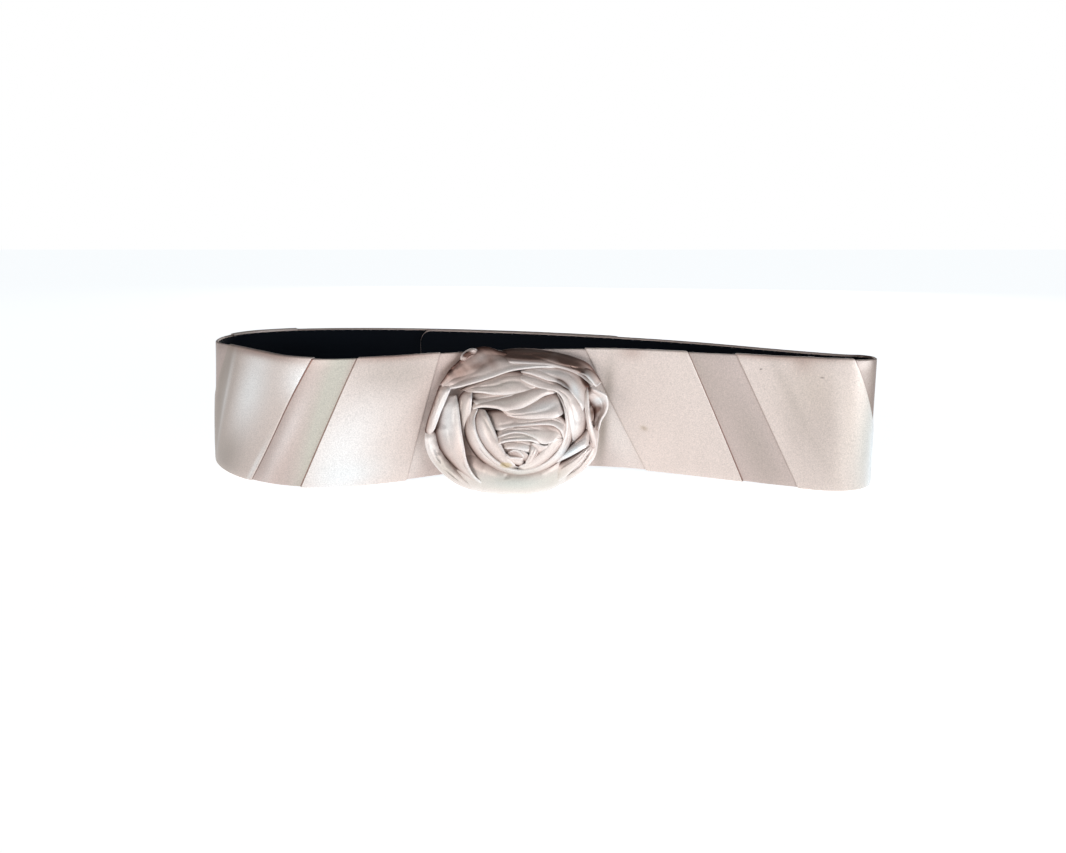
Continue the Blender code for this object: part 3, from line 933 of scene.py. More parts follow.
class Weaver:
    """Collects closed bodies of cloth, with their own measure, into one mesh."""

    WELD = 0.01 * MM

    def __init__(self) -> None:
        """Starts an empty mesh with a cloth UV layer."""
        self.bm = bmesh.new()
        self.uv = self.bm.loops.layers.uv.new(CLOTH_UV)

    def loft(self, sections: Sequence[Sequence[Vector]], measures: Sequence[Sequence[tuple[float, float]]],
             capped: bool = True) -> None:
        """Joins closed sections into a body.

        Args:
            sections: rings of points with the same count, in order.
            measures: for each point, millimetres along and across the cloth.
            capped: whether each end gets a face, where it doesn't close by itself.
        """
        verts = [[self.bm.verts.new(p) for p in ring] for ring in sections]
        count = len(sections[0])
        for i in range(len(verts) - 1):
            for j in range(count):
                k = (j + 1) % count
                corners = ((i, j), (i, k), (i + 1, k), (i + 1, j))
                face = self.bm.faces.new([verts[a][b] for a, b in corners])
                for loop, (a, b) in zip(face.loops, corners):
                    loop[self.uv].uv = measures[a][b]
        for i in (0, len(verts) - 1) if capped else ():
            face = self.bm.faces.new(verts[i])
            for loop, measure in zip(face.loops, measures[i]):
                loop[self.uv].uv = measure

    def piece(self, name: str, material: bpy.types.Material, weld: float = WELD) -> bpy.types.Object:
        """Finishes the mesh as an object at the origin.

        Args:
            name: the piece's name.
            material: its finish.
            weld: how near points are joined.

        Returns:
            The object, linked to the scene.
        """
        bmesh.ops.remove_doubles(self.bm, verts=self.bm.verts, dist=weld)
        bmesh.ops.dissolve_degenerate(self.bm, edges=self.bm.edges, dist=weld)
        bmesh.ops.recalc_face_normals(self.bm, faces=self.bm.faces)
        mesh = new_mesh(name, self.bm)
        mesh.shade_smooth()
        mesh.materials.append(material)
        return new_object(name, mesh)


def half_area(obj: bpy.types.Object) -> float:
    """Half a closed wall's surface, which is its cloth's area in square metres."""
    return 0.5 * sum(face.area for face in obj.data.polygons)


def round_section(face: float, back: float, low: float, high: float, rows: int,
                  arc: int = 5) -> list[tuple[float, float]]:
    """Draws a wall's section with rounded upper and lower edges.

    Args:
        face: how far out its outer face is.
        back: how far out its inner face is.
        low: its lower edge's height.
        high: its upper edge's height.
        rows: how many rows each face has.
        arc: how many steps each rounded edge has.

    Returns:
        Out and height of each point of the ring.
    """
    middle, radius = 0.5 * (face + back), 0.5 * (face - back)
    turns = [math.pi * k / arc for k in range(1, arc)]
    half = [(face, low + radius + (high - low - 2 * radius) * k / rows) for k in range(rows + 1)]
    half += [(middle + radius * math.cos(t), high - radius + radius * math.sin(t)) for t in turns]
    return half + [(face + back - out, low + high - height) for out, height in half]


@dataclass
class FlatStrip:
    """A long strip with rounded ends that follows the belt: the satin band or its lining."""

    name: str
    node: str
    slot: Slot
    face: float
    back: float
    inset: float
    end_inset: float
    step: float = 2.4 * MM
    rows: int = 12
    corner_steps: int = 7

    def columns(self) -> list[tuple[float, float]]:
        """Lays the strip's columns, closer together at its round end corners.

        Returns:
            Distances along the strip, and how far the corners cut in at each.
        """
        start, stop = self.end_inset, PATH.length + OVERLAP - self.end_inset
        radius = END_CORNER - self.inset
        turns = [math.radians(90.0 * k / self.corner_steps) for k in range(self.corner_steps)]
        lead = [start + radius * (1.0 - math.cos(t)) for t in turns]
        tail = [stop - (run - start) for run in reversed(lead)]
        straight = stop - start - 2 * radius
        count = round(straight / self.step)
        middle = [start + radius + straight * k / count for k in range(count + 1)]
        rows = []
        for run in lead + middle + tail:
            away = radius - min(run - start, stop - run, radius)
            rows.append((run, radius - math.sqrt(max(radius * radius - away * away, 0.0))))
        return rows

    def build(self, material: bpy.types.Material) -> bpy.types.Object:
        """Makes the strip's mesh.

        Args:
            material: its finish.

        Returns:
            The piece.
        """
        weaver = Weaver()
        sections, measures = [], []
        for run, cut in self.columns():
            low, high = BAND_BOTTOM + self.inset + cut, BAND_TOP - self.inset - cut
            ring = round_section(self.face, self.back, low, high, self.rows)
            sections.append([panel_point(run, out, height) for out, height in ring])
            measures.append([(run / MM, height / MM) for _, height in ring])
        weaver.loft(sections, measures)
        return weaver.piece(self.name, material)

    def dress(self, piece: bpy.types.Object) -> None:
        """Args:
            piece: the built strip.
        """
        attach(piece, ROOT)
        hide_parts(self.node)


@dataclass
class Wrap:
    """A satin wrap folded over both edges of the band, with slanting turned ends."""

    row: tuple
    rim: float = 0.5 * MM
    rim_shares: tuple[float, ...] = (0.0, 0.12, 0.35, 0.65, 1.0)
    lip: float = 0.9 * MM
    lip_rise: float = 0.2
    step: float = 1.8 * MM
    rows: int = 18
    arc: int = 4

    def __post_init__(self) -> None:
        """Reads the wrap's row by its columns' names."""
        self.sizes = dict(zip(WRAP_COLUMNS, self.row))
        self.name: str = self.sizes["name"]

    def span(self, share: float) -> tuple[float, float]:
        """Gives where the wrap starts and ends along the path.

        Args:
            share: the share of the band's height.

        Returns:
            Both distances in metres.
        """
        sizes = self.sizes
        begin = sizes["bottom_from"] + (sizes["top_from"] - sizes["bottom_from"]) * share
        end = sizes["bottom_to"] + (sizes["top_to"] - sizes["bottom_to"]) * share
        return begin * MM, end * MM

    def section(self) -> list[tuple[float, float, float, float]]:
        """Draws the wrap's section: the lower lip, the face and the upper lip, which mirrors the lower.

        Returns:
            Out and height of the outer face and of the inner face, from one turning to the other.
        """
        near = 0.5 * BAND_WALL + LAY
        far = near + WRAP_CLOTH
        turned = BAND_BOTTOM + TURN_DEPTH
        low, high = WRAP_CLOTH, WRAP_TOP - WRAP_CLOTH
        bend = self.lip
        turns = [0.5 * math.pi * k / self.arc for k in range(1, self.arc)]
        lower = [(-far, turned, -near, turned), (-far, bend, -near, low + self.lip_rise * bend)]
        lower += [(-far + bend * (1 - math.cos(t)), bend * (1 - math.sin(t)), -near, low) for t in turns]
        lower += [(-far + bend, 0.0, -near, low), (far - bend, 0.0, near, low)]
        lower += [(far - bend * (1 - math.sin(t)), bend * (1 - math.cos(t)), near, low) for t in turns]
        shares = [k / self.rows for k in range(self.rows + 1)]
        face = [(far, bend + (WRAP_TOP - 2 * bend) * s, near, low + (high - low) * s) for s in shares]
        upper = [(a, WRAP_TOP - b, c, WRAP_TOP - d) for a, b, c, d in reversed(lower)]
        return lower + face + upper

    def stations(self) -> list[tuple[float, float, float]]:
        """Lays the wrap's columns, closer together where its ends are folded round.

        Returns:
            For each its share of the way along, how far it is moved, and the cloth's share of thickness.
        """
        sizes = self.sizes
        widest = max(sizes["top_to"] - sizes["top_from"], sizes["bottom_to"] - sizes["bottom_from"]) * MM
        count = round(widest / self.step)
        rims = [(d * self.rim, math.sqrt(max(1.0 - (1.0 - d) * (1.0 - d), 0.0))) for d in self.rim_shares]
        found = [(0.0, inward, thin) for inward, thin in rims]
        found += [(k / count, 0.0, 1.0) for k in range(1, count)]
        return found + [(1.0, -inward, thin) for inward, thin in reversed(rims)]

    def build(self, material: bpy.types.Material) -> bpy.types.Object:
        """Makes the wrap as a closed wall whose slanting ends are round folds.

        Args:
            material: its finish.

        Returns:
            The piece.
        """
        weaver = Weaver()
        sections, measures = [], []
        pairs = self.section()
        for share, moved, thin in self.stations():
            places = [(c + (a - c) * thin, d + (b - d) * thin, b) for a, b, c, d in pairs]
            places += [(c, d, b) for a, b, c, d in reversed(pairs)]
            ring, measure = [], []
            for out, height, level in places:
                begin, end = self.span(min(max(level / LEAN_HEIGHT, 0.0), 1.0))
                run = begin + (end - begin) * share + moved
                ring.append(panel_point(run, out, height))
                measure.append((run / MM, height / MM))
            sections.append(ring)
            measures.append(measure)
        weaver.loft(sections, measures, capped=False)
        return weaver.piece(self.name + "_satin", material)

    def dress(self, piece: bpy.types.Object) -> None:
        """Args:
            piece: the built wrap.
        """
        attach(piece, ROOT)
        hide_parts(self.name)
        sizes = self.sizes
        long = (sizes["top_to"] - sizes["top_from"] + sizes["bottom_to"] - sizes["bottom_from"]) * 0.5 * MM


def spline(rows: Sequence[Sequence[float]], share: float) -> Vector:
    """Gives a point of the smooth open line through some points.

    Args:
        rows: the points.
        share: the share of the line's length.

    Returns:
        The point.
    """
    points = [Vector(row) for row in rows]
    spans = [(b - a).length for a, b in zip(points, points[1:])]
    left = share * sum(spans)
    k = 0
    while k < len(spans) - 1 and left > spans[k]:
        left -= spans[k]
        k += 1
    before = points[k - 1] if k > 0 else 2 * points[0] - points[1]
    after = points[k + 2] if k + 2 < len(points) else 2 * points[-1] - points[-2]
    return catmull(before, points[k], points[k + 1], after, min(left / spans[k], 1.0))


def line_length(rows: Sequence[Sequence[float]]) -> float:
    """The length of a line of rows."""
    return sum((Vector(b) - Vector(a)).length for a, b in zip(rows, rows[1:]))


@dataclass(frozen=True)
class Petal:
    """One folded turn of the flower: the line of its fold and the line where it is sewn down.

    Both lines are rows of millimetres to the right, up and towards the eye. bulge, tuck, wave and
    pleat are depths, and body and roll are half thicknesses, in millimetres too.
    """

    rim: tuple[tuple[float, float, float], ...]
    root: tuple[tuple[float, float, float], ...]
    bulge: float = 1.9
    tuck: float = 1.6
    wave: float = 0.35
    body: float = 0.42
    roll: float = 0.66
    pleat: float = 0.8
    rows: int = 16
    seed: float = 0.0

    # How many waves each kind of unevenness has per millimetre along the turn
    FOLDS, GATHERS, PLEATS, SWAYS = 0.07, 0.34, 0.045, 0.10
    # How wide the pleats' walls are, and the shares of the turn over which they and its ends fade
    PLEAT_SHARPNESS, PLEAT_FADE, TUCK_SHARE = 7.0, 0.25, 0.12
    # The rings' pitch in millimetres, and their least and greatest number
    PITCH, FEWEST, MOST = 0.9, 14, 76
    # How thin the ends are and over what share, and where the rolled rim starts and how fast it grows
    END_THIN, END_SHARE, ROLL_FROM, ROLL_OVER, RIM_SIDES = 0.35, 0.10, 0.55, 0.4, 6

    def front(self, along: float, across: float) -> Vector:
        """Gives a point of the petal's middle surface.

        Args:
            along: the share of the way along the turn.
            across: the share of the way from the sewn line to the fold.

        Returns:
            The point in millimetres as drawn.
        """
        seed = self.seed
        point = spline(self.root, along).lerp(spline(self.rim, along), across)
        inside = math.sin(math.pi * min(max(along, 0.0), 1.0)) ** 0.5
        point.z += self.bulge * 4.0 * across * (1.0 - across) * inside
        reach = line_length(self.rim) * along
        folds = noise.noise(Vector((reach * self.FOLDS, across * 2.6 + seed, seed * 3.1)))
        gathers = noise.noise(Vector((reach * self.GATHERS + seed, across * 0.5, seed * 1.7)))
        point.z += self.wave * inside * (1.5 * folds + 1.3 * gathers * (1.05 - across))
        pleats = noise.noise(Vector((reach * self.PLEATS + seed, across * 2.3, seed * 0.9)))
        valley = max(1.0 - abs(pleats) * self.PLEAT_SHARPNESS, 0.0)
        point.z -= self.pleat * valley * smooth((1.0 - across) / self.PLEAT_FADE) * inside
        sway = noise.noise(Vector((reach * self.SWAYS, 4.0, seed * 2.3)))
        point.y += 0.5 * self.wave * inside * sway
        point.z -= self.tuck * (1.0 - smooth(min(along, 1.0 - along) / self.TUCK_SHARE))
        return point

    def normals(self, grid: Sequence[Sequence[Vector]]) -> list[list[Vector]]:
        """Gives the directions out of the petal's middle surface, towards the eye.

        Args:
            grid: the surface's points.

        Returns:
            A direction for each point.
        """
        last, rows = len(grid) - 1, self.rows
        found = []
        for i, points in enumerate(grid):
            ahead, behind = grid[min(i + 1, last)], grid[max(i - 1, 0)]
            found.append([
                (ahead[j] - behind[j]).cross(points[min(j + 1, rows)] - points[max(j - 1, 0)]).normalized()
                for j in range(rows + 1)
            ])
        if sum(n.z for line in found for n in line) < 0:
            found = [[-n for n in line] for line in found]
        return found

    def sections(self) -> list[list[Vector]]:
        """Draws closed rings round the folded strip, from one end to the other.

        Returns:
            The rings, in millimetres as drawn.
        """
        count = min(max(round(line_length(self.rim) / self.PITCH), self.FEWEST), self.MOST)
        rows = self.rows
        grid = [[self.front(i / count, j / rows) for j in range(rows + 1)] for i in range(count + 1)]
        rolls = [smooth((j / rows - self.ROLL_FROM) / self.ROLL_OVER) for j in range(rows + 1)]
        turns = [math.pi * k / self.RIM_SIDES for k in range(1, self.RIM_SIDES)]
        rings = []
        for i, (points, normals) in enumerate(zip(grid, self.normals(grid))):
            thin = self.END_THIN + (1.0 - self.END_THIN) * smooth(min(i, count - i) / count / self.END_SHARE)
            halves = [thin * (self.body + (self.roll - self.body) * share) for share in rolls]
            face = [point + normal * half for point, normal, half in zip(points, normals, halves)]
            back = [point - normal * half for point, normal, half in zip(points, normals, halves)]
            edge = (points[rows] - points[rows - 1]).normalized()
            turned = [points[rows] + halves[rows] * (normals[rows] * math.cos(t) + edge * math.sin(t))
                      for t in turns]
            rings.append(face + turned + back[::-1])
        return rings


# The flower's turns, from the outermost to the bud
PETALS = (
    # the low bowl and the outermost turns on the left
    Petal(((-36, -22, 12), (-30, -30, 14), (-21, -35, 16), (-11, -37, 17), (0, -37.6, 17.5), (10, -37, 17),
           (20, -33.5, 16), (30, -25, 14)),
          ((-22, -8, 16), (-19, -14, 18), (-14, -19, 20), (-7, -23, 21.5), (1, -25, 22), (9, -24.5, 22),
           (17, -21, 21), (24, -15, 19)), bulge=4.0, seed=1.3),
    Petal(((21, -33, 14), (28.5, -29, 14), (34.5, -24.5, 14), (39.3, -18.5, 13), (40.8, -11, 12),
           (41.5, -4, 11)),
          ((20, -28, 13), (27, -23, 14), (32, -18, 14), (36, -12, 13.5), (37, -6, 13), (38, 0, 12)),
          seed=2.1),
    Petal(((-45.5, -5, 14.5), (-45.2, -13, 13.5), (-42.5, -20, 13.5), (-37, -26.5, 14), (-29, -32.5, 15),
           (-19, -36, 16)),
          ((-40, -4, 14.5), (-38, -12, 14), (-35, -18, 14.5), (-30, -24, 15), (-24, -29, 16),
           (-16, -33.5, 17)), seed=3.4),
    Petal(((-30, 12, 22), (-29, 4, 23), (-28, -4, 23.5), (-26.5, -14, 23.5), (-24.5, -23, 23),
           (-20.5, -29.5, 21.5), (-14, -34, 19)),
          ((-37, 12, 19), (-40, 2, 15.5), (-41, -7, 14), (-38, -16, 14.5), (-31, -24, 15), (-23, -30, 16),
           (-14.5, -34.5, 17)), seed=4.2),
    Petal(((-32.5, 17, 23), (-35.5, 10, 22), (-38.5, 3, 20.5), (-41, -4, 19), (-42, -6.5, 18)),
          ((-38.5, 17, 21), (-41.5, 8, 18), (-44.2, 0, 16), (-45.6, -6, 13.8), (-44, -8, 13.5)),
          bulge=2.0, seed=5.7),
    # the upper left turns, with the small loop that stands over them
    Petal(((-36, 15, 22.5), (-28, 16.5, 23.5), (-19, 19, 24.5), (-10, 22, 25), (-3, 24.3, 25.2),
           (5, 25.7, 25), (14, 26.3, 24.5), (22, 26, 23.5)),
          ((-38, 18, 22), (-33, 25, 22.5), (-27, 31, 22.6), (-21, 35.5, 21.6), (-15, 36.5, 21),
           (-10, 35, 20.5), (-4, 33, 20), (3, 31, 20)), bulge=-0.8, seed=6.6),
    Petal(((-27.5, 29.5, 23.5), (-26.5, 32.5, 24.5), (-23, 34.8, 24.5), (-19.5, 35, 23.8)),
          ((-25, 29, 22.4), (-24.5, 31, 22.6), (-22.5, 32.5, 22.6), (-20, 33, 22.2)), seed=7.9),
    # the upper right turns
    Petal(((-7, 28.6, 23.5), (2, 28.4, 24), (11, 28, 24), (20, 26.7, 23), (28, 24.5, 21.5), (33, 22, 20),
           (36, 19.5, 19), (38, 17, 17)),
          ((-9, 34.5, 18.8), (0, 35.5, 17.6), (10, 35.3, 16.8), (20, 33.8, 16.5), (30, 31, 15.5),
           (37, 27.5, 14), (41, 21, 12), (41, 18, 11.5)), bulge=2.5, seed=8.2),
    Petal(((1, 24, 24), (8, 22.8, 25.5), (16, 20, 26.2), (22, 18.3, 26), (27, 14.5, 25.5), (30.5, 11, 25),
           (33, 7, 24.5), (34, 3, 23.5)),
          ((2, 25.5, 20), (10, 27, 20), (18, 27.5, 19.5), (26, 27, 18.5), (33, 24, 17), (37, 17, 15),
           (37.5, 8, 14), (35, 1, 14)), seed=9.1),
    Petal(((0, 22, 26), (5, 19, 27), (10, 16.7, 27.5), (15, 15.2, 27.8), (20, 14.2, 28), (23.5, 11.5, 28),
           (25.8, 6, 27.8), (27, 0, 27.3), (28.2, -5, 26.5), (29, -11, 24.5)),
          ((1, 24, 23), (8, 23.5, 23), (15, 21.5, 23), (21, 19, 22.5), (27, 16.5, 22), (32, 11.5, 21),
           (35.5, 5, 20), (36, -1, 19.5), (34.5, -7, 19.5), (31, -12, 20)), seed=10.4),
    # the ear and the upright fold at the right
    Petal(((36.5, 16.5, 16), (40.5, 14.6, 18), (44.8, 12.2, 18), (46.2, 8, 16.5), (45.2, 3.5, 15),
           (42.5, -1, 14), (41.5, -6, 13.5)),
          ((34.5, 12, 19), (36, 9.5, 17), (37.5, 7.5, 14), (39, 5, 12.5), (39.5, 2.5, 12),
           (39.0, -1, 12), (39.5, -6, 12.5)), bulge=-0.9, seed=11.5),
    Petal(((36, 16, 20), (36.3, 10, 21), (36.8, 4, 21), (38, -3, 20), (39.5, -9, 18.5), (40, -14, 17)),
          ((33.5, 15, 17), (33.8, 9, 18), (34, 3, 18), (34.5, -4, 18), (36, -10, 17), (38, -15, 15.5)),
          seed=12.6),
    # the curled lip over the slit at the upper right
    Petal(((31.5, 23.5, 20.5), (35, 22.4, 21.6), (38.2, 19.6, 21.4), (40.4, 16.8, 20.4),
           (42.6, 18.2, 18.2)),
          ((31.8, 24.8, 19), (36.5, 25.4, 18), (40.6, 22.6, 16.6), (42.2, 19.8, 15.6),
           (43.2, 18.9, 15)),
          bulge=0.5, tuck=0.4, wave=0.1, body=0.32, roll=0.45, pleat=0.2, rows=8, seed=12.1),
    # the low right wedges
    Petal(((20, -32, 17.5), (26.5, -27, 19.5), (33, -20.5, 20.5), (38.3, -14.5, 20)),
          ((17, -23.5, 19), (25, -20.5, 20), (32, -16.5, 20.5), (38, -11, 19)), seed=13.3),
    Petal(((18, -23, 22.5), (24, -20, 24), (30, -17, 24.5), (36.8, -13, 23.5)),
          ((22, -19, 20), (27.5, -13.5, 20), (33, -8, 20), (37, -3, 19.5)), seed=14.8),
    # the second round
    Petal(((-24, 13.6, 25), (-17.5, 13.6, 26.2), (-10.5, 12.6, 26.8), (-4, 12.6, 27), (2, 13.2, 27),
           (8, 14.2, 27), (13, 15, 26.5)),
          ((-28, 15, 20), (-20, 19, 21), (-11, 22.5, 22), (-3, 25, 22.5), (4, 24, 23), (9, 20, 24),
           (14, 17, 25)), seed=15.2),
    Petal(((-22, 13.5, 25.5), (-22.5, 10, 25.8), (-22.8, 5, 25), (-24, -1, 23), (-25.8, -9, 20.5)),
          ((-25, 15, 21), (-28.5, 11, 20), (-29.5, 5, 19.5), (-28.8, -1, 19), (-27.5, -9, 18.5)),
          seed=16.9),
    Petal(((-21.5, 8.8, 26.5), (-18, 7.4, 27.3), (-12, 8.6, 27.5), (-5, 11, 27.3), (3, 13, 27),
           (9, 14.3, 26.8)),
          ((-22, 14, 23.5), (-17, 14.5, 24), (-11, 14.5, 24.5), (-5, 14.5, 25), (2, 15, 25), (9, 16, 25)),
          bulge=0.6, seed=17.4),
    Petal(((-21.5, 4.8, 27.5), (-17, 6.3, 28.6), (-10, 5.7, 29), (-5, 4.3, 29.2), (0, 4.3, 29.3),
           (5, 6.3, 29), (10, 9.3, 28.6), (15, 12.2, 28.2), (20.5, 13.3, 27.8)),
          ((-23, 8, 24), (-17, 9.5, 25), (-10, 11, 25.5), (-4, 13, 25.5), (2, 15, 25.5), (8, 16.5, 25.5),
           (14, 17, 25.5), (20, 16.5, 25.5)), seed=18.6),
    Petal(((21, 13, 27.5), (24.3, 7, 28), (25.8, 0, 28.3), (25.6, -7, 28.3), (23.5, -13.5, 28),
           (19, -19.5, 27.7), (12, -24, 27.3), (3, -26, 27), (-5, -24.3, 27), (-11.5, -19.8, 27.3),
           (-16.5, -14, 27.5), (-20, -7, 27.7), (-20.8, 0, 27.8), (-19, 5, 28)),
          ((21.5, 15.5, 25), (26.5, 8.5, 24), (28.6, 0, 23.5), (28.9, -7.5, 23), (27, -14, 22.5),
           (22.5, -20.5, 22), (14, -26, 21.5), (3.5, -28.5, 21.5), (-7, -26.8, 21.5), (-15.5, -22.3, 21.5),
           (-22, -15.5, 22), (-25.5, -7.5, 22.5), (-25, 0.5, 23), (-22.5, 6.5, 24)), bulge=1.5, seed=19.1),
    # the inner folds
    Petal(((-6, 2.5, 29), (1, 0.8, 30), (8, 0.3, 30.3), (14, 0.6, 30.3), (19.5, 0.7, 30), (24.5, 3, 29)),
          ((-12, 7.5, 26), (-4, 6.5, 26.6), (3, 7.5, 26.6), (9, 10.5, 26.3), (15, 13.5, 26),
           (21, 14, 25.8)), seed=20.3),
    Petal(((-11, -5.5, 29.5), (-6, -5.2, 30.5), (0, -4, 31), (8, -3, 31.2), (15, -2.7, 31.2),
           (20, -3.4, 31), (23.5, -6.5, 30.5), (24.3, -10.5, 29.5)),
          ((-15, 4.5, 26.5), (-8, 4.5, 27.5), (0, 3, 28), (8, 2.5, 28), (15, 2.8, 28), (21, 2.5, 27.8),
           (25.5, -1, 27.5), (26.5, -7, 27)), bulge=0.8, seed=21.7),
    Petal(((-15.5, 4.5, 28.5), (-12.3, -3, 29.5), (-9.3, -10, 30), (-6.5, -15.5, 30), (-3.5, -20.5, 29.5),
           (1, -24.3, 28.5)),
          ((-19, 5.5, 26), (-21.5, -4, 25), (-19, -11.5, 24.8), (-13, -19, 24.5), (-6, -24, 24.5),
           (1, -26.3, 24.5)), seed=22.5),
    Petal(((1, -24.3, 28.5), (6, -22.8, 29.3), (11.5, -19, 30), (16, -14.5, 30.3), (20, -10.8, 30.3),
           (24.2, -10, 29.5)),
          ((2, -27, 24.5), (9, -26, 24.5), (16, -22.5, 24.8), (22, -17, 25), (26, -10, 25.5)), seed=23.8),
    Petal(((-9.5, -10, 31), (-5, -8, 32), (0, -7, 32.4), (5, -7.5, 32.5), (10, -9.5, 32.2),
           (14, -12.2, 31.5), (19, -11.5, 31), (23.5, -9.5, 30)),
          ((-10, -6, 28), (-5, -3.5, 29), (2, -2.5, 29.3), (9, -1.8, 29.3), (16, -1.5, 29.2),
           (22, -3, 28.8), (25.5, -8, 28)), bulge=0.8, seed=24.4),
    Petal(((-8.5, -12.6, 32), (-5, -11.4, 32.8), (0, -10.8, 33.2), (5, -10.8, 33.2), (9, -11.2, 32.8),
           (13, -13.2, 31.8)),
          ((-9.5, -8, 29.5), (-4, -5.5, 30), (1, -4.8, 30.3), (6, -5.3, 30.3), (11, -7.5, 30),
           (15, -10.5, 29.5)), bulge=0.6, seed=25.9),
    # the bud
    Petal(((-5.5, -15, 30.5), (-1, -14.8, 31.3), (4, -15.6, 31.3), (8.2, -17, 30.5)),
          ((-7.5, -11.5, 28.5), (0, -9.5, 29), (8, -9.8, 29), (13, -12.5, 28.5)), bulge=0.5, seed=26.2),
    Petal(((8.2, -12.4, 31.4), (11.5, -13.2, 31.6), (14.6, -14.0, 31.2), (17.4, -13.6, 30.6)),
          ((8.6, -17.0, 29.6), (11, -18.4, 29.4), (14, -18, 29.4), (17.6, -16.6, 29.2)),
          bulge=0.5, tuck=0.5, wave=0.15, body=0.32, roll=0.45, pleat=0.2, rows=8, seed=26.8),
    Petal(((1.4, -16.4, 30.6), (4.4, -16.8, 31.0), (7.2, -18.8, 30.8)),
          ((1.4, -20.4, 29.0), (4, -21.4, 29.0), (6.8, -22, 28.8)),
          bulge=0.5, tuck=0.5, wave=0.1, body=0.30, roll=0.40, pleat=0.2, rows=8, seed=27.2),
    Petal(((8.5, -13, 31.5), (8.3, -16.5, 32), (7.3, -19.5, 31.5), (5.3, -22.8, 30.5)),
          ((13.5, -14, 28.5), (12.5, -17.5, 28), (10, -20.5, 27.8), (6.5, -24, 27.8)), seed=27.6),
    Petal(((-3.5, -17, 30.8), (0, -15.8, 31.5), (3, -17.5, 31.3), (5, -20, 30.5)),
          ((-4.5, -19.5, 28), (-1, -20, 28), (2, -20.8, 28), (4.5, -22, 28)), bulge=0.5, seed=28.3),
    Petal(((-5, -17.5, 30.3), (-3, -19.4, 30.6), (0.5, -19.8, 30.5), (4.8, -20.2, 30)),
          ((-5.5, -19.5, 28), (-2.5, -22, 27.8), (1, -23.8, 27.5), (4.5, -24, 27.5)), bulge=0.6, seed=29.5),
)

# The hidden core under the turns, from its back round to its top: its share of the flower's reach,
# and millimetres towards the eye
CORE_ROWS = (
    (0.10, -20.0),
    (0.50, -20.0),
    (0.92, -20.0),
    (1.00, 8.0),
    (0.94, 12.0),
    (0.82, 15.5),
    (0.66, 18.5),
    (0.48, 22.0),
    (0.30, 25.8),
    (0.14, 28.4),
    (0.03, 29.0),
)


class BandGuard:
    """Keeps points of the flower in front of the band's face and of the wraps beside it.

    Its sizes are millimetres along the strip: from where to where it reaches and in what steps, where
    the wraps begin at the left and end at the right, and over what length the flower's back rises.
    """

    FIRST, LAST, STEP = 385.0, 525.0, 2.0
    LEFT_WRAP, RIGHT_WRAP, RISE = 480.0, 424.0, 14.0

    def __init__(self) -> None:
        """Lays the band's lower and upper edge lines behind the flower."""
        self.lines: list[tuple[Vector, Vector]] = []
        run = self.FIRST
        while run <= self.LAST:
            out = self.stand_off(run)
            self.lines.append(tuple(panel_point(run * MM, out, z) for z in (0.0, LEAN_HEIGHT)))
            run += self.STEP

    def stand_off(self, run: float) -> float:
        """Gives how far out of the band's middle the flower's back lies.

        Args:
            run: the distance along the strip in millimetres.

        Returns:
            The way out in metres.
        """
        left, right = smooth((run - self.LEFT_WRAP) / self.RISE), smooth((self.RIGHT_WRAP - run) / self.RISE)
        return 0.5 * BAND_WALL + LAY + (WRAP_CLOTH + LAY) * max(left, right)

    def hold(self, point: Vector) -> Vector:
        """Moves a point forward where it would lie behind the band's face.

        Args:
            point: the point, which is changed.

        Returns:
            The same point.
        """
        share = point.z / LEAN_HEIGHT
        low, high = 0, len(self.lines) - 1
        while high - low > 1:
            mid = (low + high) // 2
            a, b = self.lines[mid]
            if a.x + (b.x - a.x) * share > point.x:
                low = mid
            else:
                high = mid
        left, right = (a.lerp(b, share) for a, b in (self.lines[low], self.lines[high]))
        reach = min(max((point.x - left.x) / (right.x - left.x), 0.0), 1.0)
        point.y = min(point.y, left.y + (right.y - left.y) * reach)
        return point


